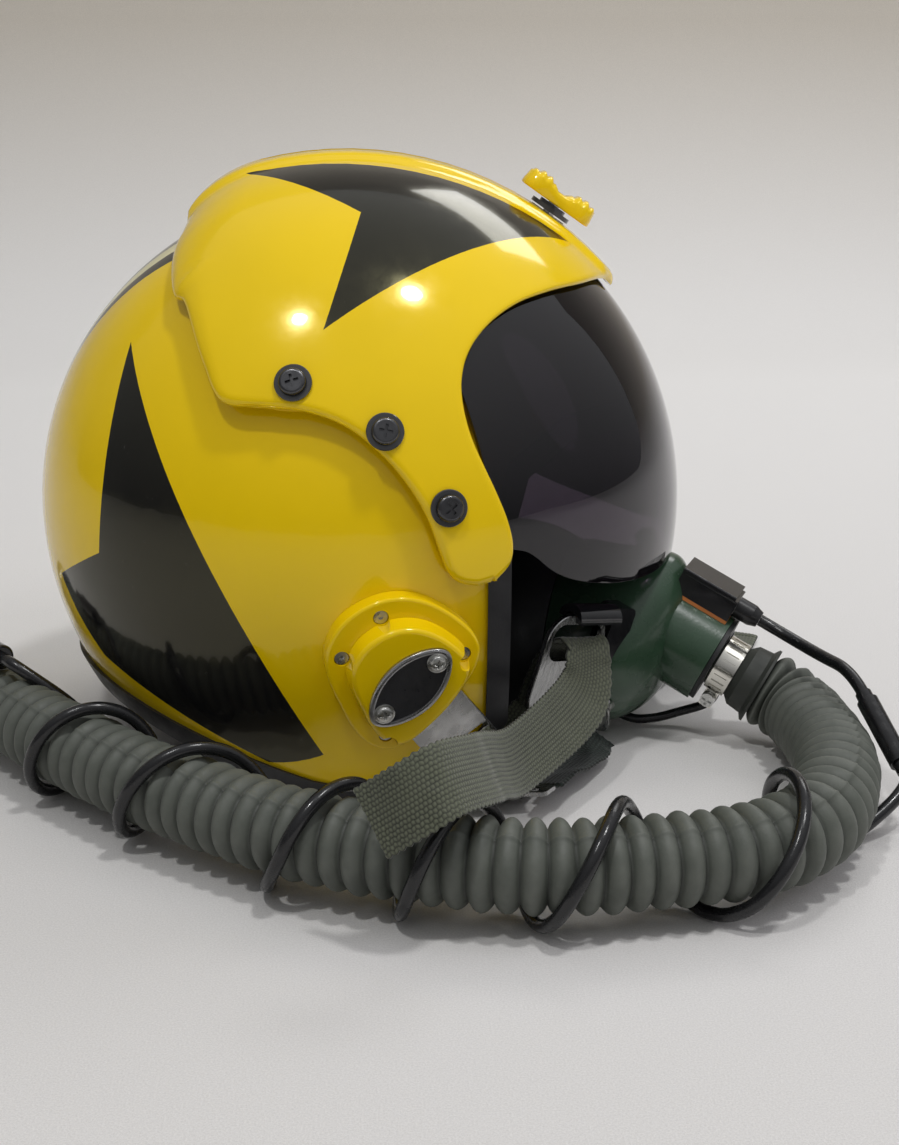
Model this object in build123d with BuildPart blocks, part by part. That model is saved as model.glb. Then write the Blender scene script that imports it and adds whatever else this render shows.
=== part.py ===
from build123d import *
import math
import os

# Pilot flight helmet with a single visor, an oxygen mask and its hose.
# X points forward, Y to the wearer's left, Z up, and the table is at Z = 0.
# The origin is on the table, straight below the centre of the head.

# Helmet shell
HEAD_HEIGHT = 98.0
SHELL_RADIUS = 129.5
SHELL_HALF_WIDTH = 118.0
SHELL_WALL = 3.0
SHELL_TUCK = 200.0
SHELL_DEPTH = 100.0
FIT_GAP = 0.3

# Edge roll, liner and ear cups
ROLL_REACH = 4.5
ROLL_THICKNESS = 1.6
LINER_THICKNESS = 15.0
LINER_MARGIN = 9.0
PAD_THICKNESS = 8.0
PAD_WIDTH = 46.0
EARCUP_HALF_LENGTH = 32.0
EARCUP_HALF_HEIGHT = 38.0
EARCUP_DEPTH = 24.0
EARCUP_WALL = 2.5
EARCUP_INNER_PLANE = 72.0
EARCUP_FORWARD = 4.0
EARCUP_DROP = 38.0
SEAL_THICKNESS = 12.0
SEAL_WIDTH = 13.0
EARPHONE_RADIUS = 18.0
EARPHONE_DEPTH = 9.0
EARCUP_SPACER_RADIUS = 20.0
CHEEK_THICKNESS = 24.0
CHEEK_INNER_PLANE = 62.0

# Visor
HOUSING_RADIUS = 143.5
HOUSING_HALF_WIDTH = 127.0
HOUSING_WALL = 2.8
RIDGE_HEIGHT = 2.2
RIDGE_TOP_WIDTH = 26.0
RIDGE_FOOT_WIDTH = 38.0
LENS_RADIUS = 139.6
LENS_HALF_WIDTH = 123.0
LENS_THICKNESS = 2.4
NOSE_ARCH_HALF_WIDTH = 72.0
NOSE_ARCH_HEIGHT = 26.0
NOSE_ARCH_DROP = 20.0
KNOB_ANGLE = 55.2
VISOR_RAISE = 45.0
SLOT_WIDTH = 7.0
STUD_RADIUS = 2.5
STUD_CLEARANCE = 0.1
SLIDER_LENGTH = 16.0
SLIDER_WIDTH = 6.0
STUD_NUT_RADIUS = 5.0
STUD_NUT_THICKNESS = 2.0
KNOB_LENGTH = 38.0
KNOB_WIDTH = 19.0
KNOB_WAIST = 14.0
KNOB_THICKNESS = 8.5
KNOB_LIFT = 4.2
KNOB_WASHER_RADIUS = 9.0
KNOB_RIB_WIDTH = 1.8

# Housing screws, as shares of the housing radius in side view
SCREW_PLACE_SHARES = [(-0.139, 0.484), (0.087, 0.369), (0.244, 0.178)]
WASHER_RADIUS = 6.9
WASHER_THICKNESS = 1.2
SCREW_HEAD_RADIUS = 5.0
SCREW_HEAD_HEIGHT = 2.6
SCREW_RADIUS = 2.0
SCREW_CLEARANCE = 0.2
SPACER_RADIUS = 4.0
CROSS_LENGTH = 5.0
CROSS_WIDTH = 1.1
CROSS_DEPTH = 1.3
HEAD_TOP = FIT_GAP / 2 + WASHER_THICKNESS + SCREW_HEAD_HEIGHT

# Outlines in side view, as shares of the radius of their own form
SHELL_OUTLINE_SHARES = [
    (0.425, -0.510), (0.425, 0.093), (0.479, 0.263), (0.633, 0.355), (1.158, 0.355), (1.158, 1.158),
    (-1.158, 1.158), (-1.158, -0.479), (-0.826, -0.479), (-0.656, -0.525), (-0.463, -0.587),
    (-0.309, -0.641), (-0.139, -0.699), (-0.031, -0.722), (0.108, -0.722), (0.263, -0.641),
    (0.386, -0.571)]
HOUSING_OUTLINE_SHARES = [
    (-0.450, 0.860), (-0.455, 0.700), (-0.431, 0.643), (-0.375, 0.540), (-0.309, 0.435), (-0.122, 0.425),
    (-0.028, 0.397), (0.110, 0.284), (0.196, 0.157), (0.233, 0.063), (0.284, -0.017), (0.355, -0.025),
    (0.410, 0.010), (0.400, 0.091), (0.312, 0.293), (0.293, 0.460), (0.385, 0.617), (0.556, 0.691),
    (0.686, 0.687), (0.758, 0.655), (0.864, 0.592), (1.150, 1.150), (-0.450, 1.150)]
LENS_OUTLINE_SHARES = [
    (0.372, 0.100), (0.433, 0.049), (0.560, -0.028), (0.680, -0.093), (0.844, -0.126), (1.074, -0.133),
    (1.074, 0.430), (0.609, 1.074), (0.276, 0.478), (0.297, 0.463), (0.279, 0.399), (0.297, 0.354),
    (0.310, 0.288), (0.342, 0.251), (0.379, 0.191)]
# Opens the front of the housing at the brow, for the lens to slide out
BROW_OPENING_SHARES = [(0.405, 0.600), (1.100, 0.600), (1.100, 0.800), (0.405, 0.800)]
CAVITY_SLIDE = 15.0
SECTION_ANGLE_SHARES = [0.93, 0.84, 0.73, 0.60, 0.45, 0.28, 0.10]
SECTION_DEPTH_SHARES = [0.10, 0.35, 0.68, 1.0]
SECTION_POINTS = 16

# Nape pad and cheek pads
NAPE_PAD_HEIGHT = 40.0
NAPE_PAD_WIDTH = 120.0
NAPE_PAD_DROP = 34.0
CHEEK_LENGTH = 23.0
CHEEK_HEIGHT = 68.0
CHEEK_FORWARD = 47.8
CHEEK_DROP = 36.0

# Strap receivers
RECEIVER_FORWARD = 18.0
RECEIVER_DROP = 38.0
RECEIVER_TOE = 8.0
RECEIVER_TUCK = 7.0
RECEIVER_SIZE = 30.0
RECEIVER_BASE_THICKNESS = 5.0
RECEIVER_COVER_THICKNESS = 8.0
RECEIVER_COVER_SHARE = 0.8
RECEIVER_OUTLINE_SHARES = [
    (-0.45, 0.97), (0.10, 1.03), (0.62, 0.76), (0.95, 0.30), (0.78, -0.20), (0.25, -0.80), (-0.18, -1.04),
    (-0.52, -0.86), (-0.80, -0.36), (-0.98, 0.22), (-0.84, 0.66)]
RECEIVER_SCREW_SHARES = [(-0.30, 0.80), (-0.78, 0.28), (0.74, 0.24), (-0.22, -0.82)]
RECEIVER_SCREW_RADIUS = 1.5
RECEIVER_HEAD_RADIUS = 2.6

# Tongues in the receivers
TONGUE_WIDTH = 26.0
TONGUE_THICKNESS = 3.0
TONGUE_LENGTH = 40.0
TONGUE_ANGLE = -52.0
TONGUE_SLOT_HEIGHT = 4.0
TONGUE_START = 4.0
TONGUE_LEVEL = RECEIVER_BASE_THICKNESS + RECEIVER_COVER_THICKNESS / 3

# Plate on the right receiver
BADGE_LENGTH = 33.0
BADGE_WIDTH = 18.0
BADGE_THICKNESS = 1.4
BADGE_RIM = 2.2
BADGE_TILT = 45.0
BADGE_SCREW_RADIUS = 2.3

# Harness and mask frame, whose places are shares of the span
SPAN = 100.0
MASK_FORWARD = 70.0
MASK_TURN = 24.0
WEB_WIDTH = 25.4
WEB_THICKNESS = 1.8
WEB_STEP = 4.5

# Mask shell and faceform, as stations ahead of its origin: station, half width, middle, half height
MASK_SIZE = 100.0
MASK_WALL = 2.5
MASK_TAPER = 0.16
MASK_SHARES = [
    (0.28, 0.44, -0.57, 0.39), (0.50, 0.41, -0.56, 0.375), (0.65, 0.33, -0.515, 0.325),
    (0.73, 0.22, -0.455, 0.25), (0.78, 0.10, -0.415, 0.14)]
FACEFORM_FLANGE_SHARES = [(-0.14, 0.42, -0.52, 0.38), (0.05, 0.48, -0.54, 0.425), (0.275, 0.44, -0.57, 0.39)]
FACEFORM_CUP_SHARES = [(0.20, 0.390, -0.565, 0.340), (0.50, 0.360, -0.56, 0.325), (0.58, 0.320, -0.54, 0.300)]

# Breathing port
PORT_SHARES = (1.522, -0.366, -0.630)
PORT_FALL = 26.0
PORT_RADIUS = 20.3
PORT_WALL = 2.5
PORT_DEPTH = 38.0
SPIGOT_RADIUS = 9.8
SPIGOT_BORE = 8.0
SPIGOT_LENGTH = 14.0
FACEFORM_WALL = 2.6

# Valve in the port
VALVE_SEAT_DEPTH = 9.0
VALVE_SEAT_BORE = 10.0
VALVE_DISC_RADIUS = 13.5
VALVE_DISC_THICKNESS = 1.2
VALVE_STEM_RADIUS = 1.6
VALVE_HUB_RADIUS = 3.2

# Microphone
MIC_PLACE_SHARES = (0.44, -0.66)
MIC_LENGTH = 24.0
MIC_HEIGHT = 13.0
MIC_DEPTH = 9.0
MIC_STEM_RADIUS = 2.5
MIC_STEM_FOOT_SHARE = -0.850

# Microphone connector with its stripe and boot
CONNECTOR_START = 28.0
CONNECTOR_LENGTH = 26.0
CONNECTOR_WIDTH = 17.0
CONNECTOR_TOP = 31.0
STRIPE_THICKNESS = 1.2
BOOT_HEIGHT = 25.2
BOOT_RADIUS = 4.6
BOOT_NECK_RADIUS = 3.4
BOOT_LENGTH = 11.0

# Gasket, cuff and worm clamp
GASKET_RADIUS = 19.3
GASKET_THICKNESS = 2.0
CUFF_INNER_RADIUS = 10.0
CUFF_START = 2.3
CUFF_END = 24.0
CUFF_SHARES = [(0.0, 0.0), (1.2, 0.0), (1.2, 9.9), (4.0, 12.8), (4.6, 19.0), (7.0, 20.6), (7.0, 21.7), (0.0, 21.7)]
CLAMP_RADIUS = 11.4
CLAMP_THICKNESS = 1.0
CLAMP_START = 3.0
CLAMP_WIDTH = 8.8
CLAMP_SLOTS = 18
HOUSING_BOX = 8.0
CLAMP_SCREW_RADIUS = 2.2
CLAMP_HEAD_RADIUS = 3.0

# Buckles and hooks
BUCKLE_SHARES = (0.850, -0.720, -0.535)
BUCKLE_WIDTH = 33.0
BUCKLE_HEIGHT = 46.0
BUCKLE_THICKNESS = 2.2
BUCKLE_SLOT_WIDTH = 27.4
BUCKLE_SLOT_HEIGHT = 16.0
BUCKLE_BAR = 4.0
BUCKLE_ACROSS = Vector(0.75, 0.60, -0.20).normalized()
BUCKLE_UP = Vector(0.30, 0.0, 0.95).normalized()
HOOK_CLEARANCE = 3.2
HOOK_THICKNESS = 3.2
HOOK_WIDTH = 20.0
HOOK_BLOCK_START = 17.2
HOOK_BLOCK_END = 30.0
HOOK_BLOCK_TOP = 26.0
HOOK_BLOCK_BOTTOM = -8.0
HOOK_BLOCK_DEPTH = 9.0

# Lower arms and their webbing
ARM_SHARES = (0.53, -0.770)
ARM_ACROSS = 44.0
ARM_WIDTH = 9.0
ARM_LENGTH = 15.4
ARM_THICKNESS = 2.0
ARM_STUD_RADIUS = 3.6
ARM_STUD_HEAD_RADIUS = 5.0
LOWER_WIDTH = 16.0

# Runs of the webbing
TONGUE_PASS = [(34.5, 12.2), (38.5, 12.9), (44.0, 13.4)]
LEAD_SHARES = [
    ((0.490, -1.205, -0.835), (0.90, 0.0, 0.35)), ((0.500, -1.120, -0.915), (0.95, -0.20, 0.10)),
    ((0.550, -0.990, -0.935), (0.90, -0.30, 0.0)), ((0.640, -0.830, -0.890), (0.95, 0.10, 0.0))]
LEAD_LEFT_SHARES = [
    ((0.620, 1.150, -0.790), (0.70, 0.20, 0.70)), ((0.850, 0.960, -0.790), (0.45, 0.20, 0.85)),
    ((1.070, 0.700, -0.760), (0.40, 0.30, 0.70))]
BUCKLE_PASS = [(0, -24.0, -8.0), (0, -10.0, -7.5), (0, 2.0, -5.5), (0, 9.8, -2.2)]
BUCKLE_FOLD = [(0, 10.8, -1.0), (0, 13.5, 4.0), (0, 9.0, 9.0)]
TAIL_SHARES = [
    ((0.880, -0.930, -0.600), (0.75, 0.20, -0.60)), ((0.600, -1.400, -0.640), (0.36, -0.15, -0.92)),
    ((0.475, -1.720, -0.535), (0.34, -0.35, -0.87)), ((0.423, -1.940, -0.452), (0.32, -0.60, -0.74)),
    ((0.295, -2.170, -0.385), (0.30, -0.55, -0.78)), ((0.180, -2.220, -0.430), (0.30, -0.40, -0.86)),
    ((0.049, -2.170, -0.534), (0.26, -0.40, -0.88))]
TAIL_LEFT_SHARES = [
    ((1.610, 0.400, -0.700), (0.60, -0.75, -0.10)), ((1.720, 0.545, -0.880), (0.70, -0.70, 0.0)),
    ((1.820, 0.710, -0.948), (0.70, -0.70, 0.0)), ((1.895, 0.890, -0.955), (0.80, -0.55, 0.0))]
LOWER_SHARES = [
    ((1.003, -0.630, -0.868), (0.80, 0.55, 0.0)), ((0.980, -0.670, -0.890), (0.75, 0.60, 0.0)),
    ((0.930, -0.760, -0.905), (0.75, 0.60, 0.0)), ((0.855, -0.900, -0.902), (0.75, 0.55, 0.0)),
    ((0.780, -1.020, -0.885), (0.80, 0.50, 0.0)), ((0.725, -1.125, -0.872), (0.85, 0.45, 0.0))]

# Metal end tab
TAB_LENGTH = 13.0
TAB_WIDTH = 11.0
TAB_THICKNESS = 1.6
TAB_HOLE_RADIUS = 1.7

# Breathing hose and its route
HOSE_RADIUS = 16.5
HOSE_ROOT_RADIUS = 13.7
HOSE_BORE = 10.0
HOSE_RIBS = 72
HOSE_STRAIGHT = 16.0
HOSE_SHARES = [
    (1.865, -0.840, -0.798), (1.845, -1.160, -0.775), (1.760, -1.480, -0.755), (1.620, -1.790, -0.755),
    (1.340, -1.990, -0.755), (1.010, -2.045, -0.755), (0.660, -2.080, -0.755), (0.340, -2.010, -0.755),
    (0.040, -1.895, -0.755), (-0.270, -1.725, -0.755), (-0.560, -1.475, -0.755), (-0.840, -1.215, -0.755),
    (-1.090, -0.925, -0.755), (-1.330, -0.625, -0.755), (-1.530, -0.345, -0.755), (-1.700, -0.060, -0.755),
    (-1.820, 0.230, -0.755)]
BEND_SHARE = 0.45
TIGHT_BEND_SHARE = 0.9
RIB_SHARES = [0.10, 0.30, 0.70, 0.90]

# Connector at the far end of the hose
CONNECTOR_FERRULE_RADIUS = 17.0
CONNECTOR_RING_RADIUS = 21.0
CONNECTOR_NOSE_RADIUS = 12.0
CONNECTOR_BORE = 9.0
CONNECTOR_FERRULE_LENGTH = 12.0
CONNECTOR_RING_LENGTH = 22.0
CONNECTOR_NOSE_LENGTH = 14.0
CONNECTOR_LUGS = 3
CONNECTOR_LUG_SIZE = 4.0

# Cords, splice sleeve and plug
CORD_RADIUS = 2.5
LEAD_RADIUS = 2.0
SPLICE_RADIUS = 4.25
SPLICE_NECK_RADIUS = 3.2
CORD_EXIT = 12.0
SPLICE_SHARES = [(1.994, -0.970, -0.581), (2.071, -1.310, -0.772)]
CORD_SHARES = [(1.900, -0.680, -0.525)]
LEAD_SHARES_UNDER = [(1.090, -0.190, -0.900), (1.180, -0.240, -0.953), (1.300, -0.255, -0.950), (1.420, -0.240, -0.923)]
LEAD_ROUND_PORT = [(8.0, -22.2, 9.3), (17.0, -17.0, 8.0), (25.0, -4.0, 4.0), (26.5, 11.0, -3.0),
                   (23.0, 23.0, -11.0), (17.0, 25.6, -15.0), (CONNECTOR_WIDTH / 2 + FIT_GAP / 3, 25.6, -15.0)]

# Cord wound round the hose
WINDING_RADIUS = 19.6
WINDING_SHARES = [(0.0, 0.939), (1.0, 1.793), (2.0, 2.423), (3.0, 2.887), (4.0, 3.330), (5.0, 4.045),
                  (6.0, 4.600), (6.25, 4.720), (6.75, 4.980)]
WINDING_STEP = 0.25
PLUG_START_SHARE = 5.160
PLUG_HEIGHT = 22.25
PLUG_RADIUS = 5.25
PLUG_LENGTH = 38.0
PLUG_TIP_RADIUS = 3.2
UP = Vector(0, 0, 1)


def at_head(x=0.0, y=0.0, z=0.0):
    """A point given from the centre of the head."""
    return (x, y, HEAD_HEIGHT + z)


def scaled(shares, size):
    return [(across * size, up * size) for across, up in shares]


HEAD = Plane(origin=at_head(), x_dir=(1, 0, 0), z_dir=(0, 0, 1))
SIDE = Plane(origin=at_head(), x_dir=(1, 0, 0), z_dir=(0, -1, 0))
FRONT = Plane(origin=at_head(), x_dir=(0, 1, 0), z_dir=(1, 0, 0))
EAR_AXIS = Axis(at_head(), (0, 1, 0))
RAISE_AXIS = Axis(at_head(), (0, -1, 0))


def radial_plane(angle):
    """Plane through the ear axis, its X pointing out at an angle above straight ahead."""
    turn = math.radians(angle)
    return Plane(
        origin=at_head(),
        x_dir=(math.cos(turn), 0, math.sin(turn)),
        z_dir=(-math.sin(turn), 0, math.cos(turn)))


def tangent_plane(angle, radius):
    """Plane that touches a circle about the ear axis, its X running forward and down."""
    turn = math.radians(angle)
    return Plane(
        origin=at_head(radius * math.cos(turn), 0, radius * math.sin(turn)),
        x_dir=(math.sin(turn), 0, -math.cos(turn)),
        z_dir=(math.cos(turn), 0, math.sin(turn)))


def revolved_form(radius, half_width):
    """Solid of revolution about the ear axis: round in side view, elliptical from the front."""
    with BuildPart() as form:
        with BuildSketch(HEAD):
            Ellipse(radius, half_width)
            with Locations((-radius, 0)):
                Rectangle(2 * radius, 2 * radius, mode=Mode.SUBTRACT)
        revolve(axis=EAR_AXIS)
    return form.part


def head_form(inset):
    """Outer form of the helmet, made smaller on every side by an inset."""
    radius = SHELL_RADIUS - inset
    half_width = SHELL_HALF_WIDTH - inset
    with BuildPart() as form:
        levels = [radius * math.sin(share * math.pi / 2) for share in SECTION_ANGLE_SHARES]
        levels += [-share * SHELL_DEPTH for share in SECTION_DEPTH_SHARES]
        for level in levels:
            length = math.sqrt(radius**2 - level**2)
            tuck = radius if level > 0 else SHELL_TUCK
            width = half_width * math.sqrt(1 - (level / tuck)**2)
            steps = [2 * math.pi * step / SECTION_POINTS for step in range(SECTION_POINTS)]
            with BuildSketch(HEAD.offset(level)):
                with BuildLine():
                    Spline(*[(length * math.cos(t), width * math.sin(t)) for t in steps], periodic=True)
                make_face()
        loft()
    return form.part


def side_block(shares, size, grow=0.0):
    """Side outline pulled across the whole width of the helmet."""
    with BuildPart() as block:
        with BuildSketch(SIDE):
            with BuildLine():
                Polyline(*scaled(shares, size), close=True)
            make_face()
            if grow != 0:
                offset(amount=grow, kind=Kind.INTERSECTION)
        extrude(amount=HOUSING_RADIUS, both=True)
    return block.part


def save(piece, name):
    """Label a finished piece and write it as its own file."""
    piece.label = name
    export_step(piece, f"parts/{name}.step")


os.makedirs("parts", exist_ok=True)

# Helmet shell
outer_form = head_form(0)
shell_block = side_block(SHELL_OUTLINE_SHARES, SHELL_RADIUS)
with BuildPart() as shell_blank:
    add(outer_form)
    add(head_form(SHELL_WALL), mode=Mode.SUBTRACT)
    add(shell_block, mode=Mode.INTERSECT)

# Edge roll: a channel of black rubber that grips the rim of the shell
with BuildPart() as edge_roll:
    add(head_form(-ROLL_THICKNESS))
    add(head_form(SHELL_WALL + ROLL_THICKNESS), mode=Mode.SUBTRACT)
    add(side_block(SHELL_OUTLINE_SHARES, SHELL_RADIUS, ROLL_REACH), mode=Mode.INTERSECT)
    add(side_block(SHELL_OUTLINE_SHARES, SHELL_RADIUS, -ROLL_REACH), mode=Mode.SUBTRACT)
    add(shell_blank.part, mode=Mode.SUBTRACT)


def housing_normal(place, side):
    """Plane on the outside of the housing at a place in side view, its Z pointing out."""
    forward, up = place
    share = (forward**2 + up**2) / HOUSING_RADIUS**2
    across = side * HOUSING_HALF_WIDTH * math.sqrt(1 - share)
    out = Vector(forward / HOUSING_RADIUS**2, across / HOUSING_HALF_WIDTH**2, up / HOUSING_RADIUS**2)
    return Plane(origin=at_head(forward, across, up), x_dir=(up, 0, -forward), z_dir=out.normalized())


def depth_to_shell(plane):
    """Distance from the outside of the housing straight in to the shell."""
    start = plane.origin - Vector(*at_head())
    inward = plane.z_dir * -1
    size = Vector(SHELL_RADIUS, SHELL_HALF_WIDTH, SHELL_RADIUS)
    p = Vector(start.X / size.X, start.Y / size.Y, start.Z / size.Z)
    d = Vector(inward.X / size.X, inward.Y / size.Y, inward.Z / size.Z)
    a = d.dot(d)
    b = p.dot(d)
    c = p.dot(p) - 1
    return (-b - math.sqrt(b * b - a * c)) / a


screw_planes = [housing_normal(place, side)
                for side in (-1, 1) for place in scaled(SCREW_PLACE_SHARES, HOUSING_RADIUS)]

# Visor housing: a thin cover closed at the back and along its lower edge, open at the brow
cavity_block = side_block(HOUSING_OUTLINE_SHARES, HOUSING_RADIUS, -HOUSING_WALL)
with BuildPart() as housing_cavity:
    add(cavity_block)
    add(cavity_block.moved(Location((CAVITY_SLIDE, 0, -HOUSING_WALL / 3))))
    add(side_block(BROW_OPENING_SHARES, HOUSING_RADIUS))
    add(revolved_form(HOUSING_RADIUS - HOUSING_WALL, HOUSING_HALF_WIDTH - HOUSING_WALL), mode=Mode.INTERSECT)

slot_start = KNOB_ANGLE - math.degrees(SLIDER_LENGTH / 2 / LENS_RADIUS) - math.degrees(FIT_GAP / LENS_RADIUS)
slot_end = KNOB_ANGLE + VISOR_RAISE + (KNOB_ANGLE - slot_start)
with BuildPart() as visor_housing:
    add(revolved_form(HOUSING_RADIUS, HOUSING_HALF_WIDTH))
    with BuildSketch(HEAD):
        with BuildLine():
            Polyline(
                (HOUSING_RADIUS - RIDGE_HEIGHT, -RIDGE_FOOT_WIDTH / 2),
                (HOUSING_RADIUS + RIDGE_HEIGHT, -RIDGE_TOP_WIDTH / 2),
                (HOUSING_RADIUS + RIDGE_HEIGHT, RIDGE_TOP_WIDTH / 2),
                (HOUSING_RADIUS - RIDGE_HEIGHT, RIDGE_FOOT_WIDTH / 2),
                close=True)
        make_face()
    revolve(axis=EAR_AXIS)
    add(side_block(HOUSING_OUTLINE_SHARES, HOUSING_RADIUS), mode=Mode.INTERSECT)
    add(head_form(-FIT_GAP), mode=Mode.SUBTRACT)
    add(housing_cavity.part, mode=Mode.SUBTRACT)
    with BuildSketch(radial_plane(slot_start)):
        with Locations((HOUSING_RADIUS, 0)):
            Rectangle(4 * HOUSING_WALL, SLOT_WIDTH)
    revolve(axis=RAISE_AXIS, revolution_arc=slot_end - slot_start, mode=Mode.SUBTRACT)
    for plane in screw_planes:
        with BuildSketch(plane.offset(HOUSING_WALL)):
            Circle(SCREW_RADIUS + SCREW_CLEARANCE)
        extrude(amount=-(HOUSING_WALL + depth_to_shell(plane)), mode=Mode.SUBTRACT)
save(visor_housing.part, "visor_housing")

# The front corners of the housing press a flat into the rubber
with BuildPart() as fitted_roll:
    add(edge_roll.part)
    add(visor_housing.part, mode=Mode.SUBTRACT)
save(fitted_roll.part, "edge_roll")

# Spacers that hold the housing off the shell, and the screws and washers through them
with BuildPart() as housing_spacers:
    for plane in screw_planes:
        reach = depth_to_shell(plane)
        with BuildSketch(plane.offset(-HOUSING_WALL - FIT_GAP / 2)):
            Circle(SPACER_RADIUS)
            Circle(SCREW_RADIUS + SCREW_CLEARANCE, mode=Mode.SUBTRACT)
        extrude(amount=-(reach - HOUSING_WALL + FIT_GAP))
    add(revolved_form(HOUSING_RADIUS - HOUSING_WALL - FIT_GAP / 2,
                      HOUSING_HALF_WIDTH - HOUSING_WALL - FIT_GAP / 2), mode=Mode.INTERSECT)
    add(side_block(HOUSING_OUTLINE_SHARES, HOUSING_RADIUS, -HOUSING_WALL - FIT_GAP), mode=Mode.INTERSECT)
    add(head_form(-FIT_GAP / 2), mode=Mode.SUBTRACT)
save(housing_spacers.part, "housing_spacers")

with BuildPart() as housing_washers:
    for plane in screw_planes:
        with BuildSketch(plane.offset(FIT_GAP / 2)):
            Circle(WASHER_RADIUS)
            Circle(SCREW_RADIUS + SCREW_CLEARANCE, mode=Mode.SUBTRACT)
        extrude(amount=WASHER_THICKNESS)
    chamfer(edges().filter_by(GeomType.CIRCLE).filter_by(lambda e: e.radius == WASHER_RADIUS), FIT_GAP)
save(housing_washers.part, "housing_washers")

with BuildPart() as housing_screws:
    for plane in screw_planes:
        top = plane.offset(WASHER_THICKNESS + FIT_GAP / 2)
        with BuildSketch(top):
            Circle(SCREW_HEAD_RADIUS)
        extrude(amount=SCREW_HEAD_HEIGHT)
        with BuildSketch(top):
            Circle(SCREW_RADIUS)
        extrude(amount=-(WASHER_THICKNESS + depth_to_shell(plane) + SHELL_WALL))
    rims = edges().filter_by(GeomType.CIRCLE).filter_by(lambda e: e.radius == SCREW_HEAD_RADIUS)
    tops = [e for e in rims if any((e.arc_center - p.offset(HEAD_TOP).origin).length < FIT_GAP for p in screw_planes)]
    fillet(tops, SCREW_HEAD_HEIGHT / 2)
    for plane in screw_planes:
        with BuildSketch(plane.offset(WASHER_THICKNESS + SCREW_HEAD_HEIGHT + FIT_GAP)):
            Rectangle(CROSS_LENGTH, CROSS_WIDTH)
            Rectangle(CROSS_WIDTH, CROSS_LENGTH)
        extrude(amount=-CROSS_DEPTH, mode=Mode.SUBTRACT)
save(housing_screws.part, "housing_screws")

with BuildPart() as helmet_shell:
    add(shell_blank.part)
    for plane in screw_planes:
        with BuildSketch(plane):
            Circle(SCREW_RADIUS + SCREW_CLEARANCE)
        extrude(amount=-2 * depth_to_shell(plane), mode=Mode.SUBTRACT)
save(helmet_shell.part, "helmet_shell")

# Visor lens, with an arch that leaves room for the nose of the mask
stud_plane = tangent_plane(KNOB_ANGLE, LENS_RADIUS)
with BuildPart() as visor_lens:
    add(revolved_form(LENS_RADIUS, LENS_HALF_WIDTH))
    add(revolved_form(LENS_RADIUS - LENS_THICKNESS, LENS_HALF_WIDTH - LENS_THICKNESS), mode=Mode.SUBTRACT)
    add(side_block(LENS_OUTLINE_SHARES, LENS_RADIUS), mode=Mode.INTERSECT)
    with BuildSketch(FRONT):
        with Locations((0, -NOSE_ARCH_DROP)):
            Ellipse(NOSE_ARCH_HALF_WIDTH, NOSE_ARCH_HEIGHT)
    extrude(amount=LENS_RADIUS, mode=Mode.SUBTRACT)
    with BuildSketch(stud_plane):
        Circle(STUD_RADIUS + STUD_CLEARANCE)
    extrude(amount=LENS_THICKNESS * 2, both=True, mode=Mode.SUBTRACT)
save(visor_lens.part, "visor_lens")

# Guide block in the slot, stud through it, washers and thumb knob on top
ridge_top = HOUSING_RADIUS + RIDGE_HEIGHT - LENS_RADIUS
with BuildPart() as visor_slider:
    with BuildSketch(stud_plane.offset(FIT_GAP)):
        SlotOverall(SLIDER_LENGTH, SLIDER_WIDTH)
        Circle(STUD_RADIUS + STUD_CLEARANCE, mode=Mode.SUBTRACT)
    extrude(amount=ridge_top - FIT_GAP)
save(visor_slider.part, "visor_slider")

with BuildPart() as visor_stud:
    with BuildSketch(stud_plane.offset(-LENS_THICKNESS - FIT_GAP)):
        RegularPolygon(STUD_NUT_RADIUS, 6)
    extrude(amount=-STUD_NUT_THICKNESS)
    with BuildSketch(stud_plane.offset(-LENS_THICKNESS - STUD_NUT_THICKNESS)):
        Circle(STUD_RADIUS)
    extrude(amount=LENS_THICKNESS + STUD_NUT_THICKNESS + ridge_top + KNOB_LIFT + KNOB_THICKNESS / 2)
save(visor_stud.part, "visor_stud")

with BuildPart() as knob_washer:
    with BuildSketch(stud_plane.offset(ridge_top + FIT_GAP * 2)):
        Circle(KNOB_WASHER_RADIUS)
        Circle(STUD_RADIUS + STUD_CLEARANCE, mode=Mode.SUBTRACT)
    extrude(amount=KNOB_LIFT / 2 - FIT_GAP)
    with BuildSketch(stud_plane.offset(ridge_top + KNOB_LIFT / 2 + FIT_GAP)):
        Circle(KNOB_WASHER_RADIUS * 2 / 3)
        Circle(STUD_RADIUS + STUD_CLEARANCE, mode=Mode.SUBTRACT)
    extrude(amount=KNOB_LIFT / 2 - FIT_GAP * 2)
save(knob_washer.part, "knob_washer")

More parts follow.
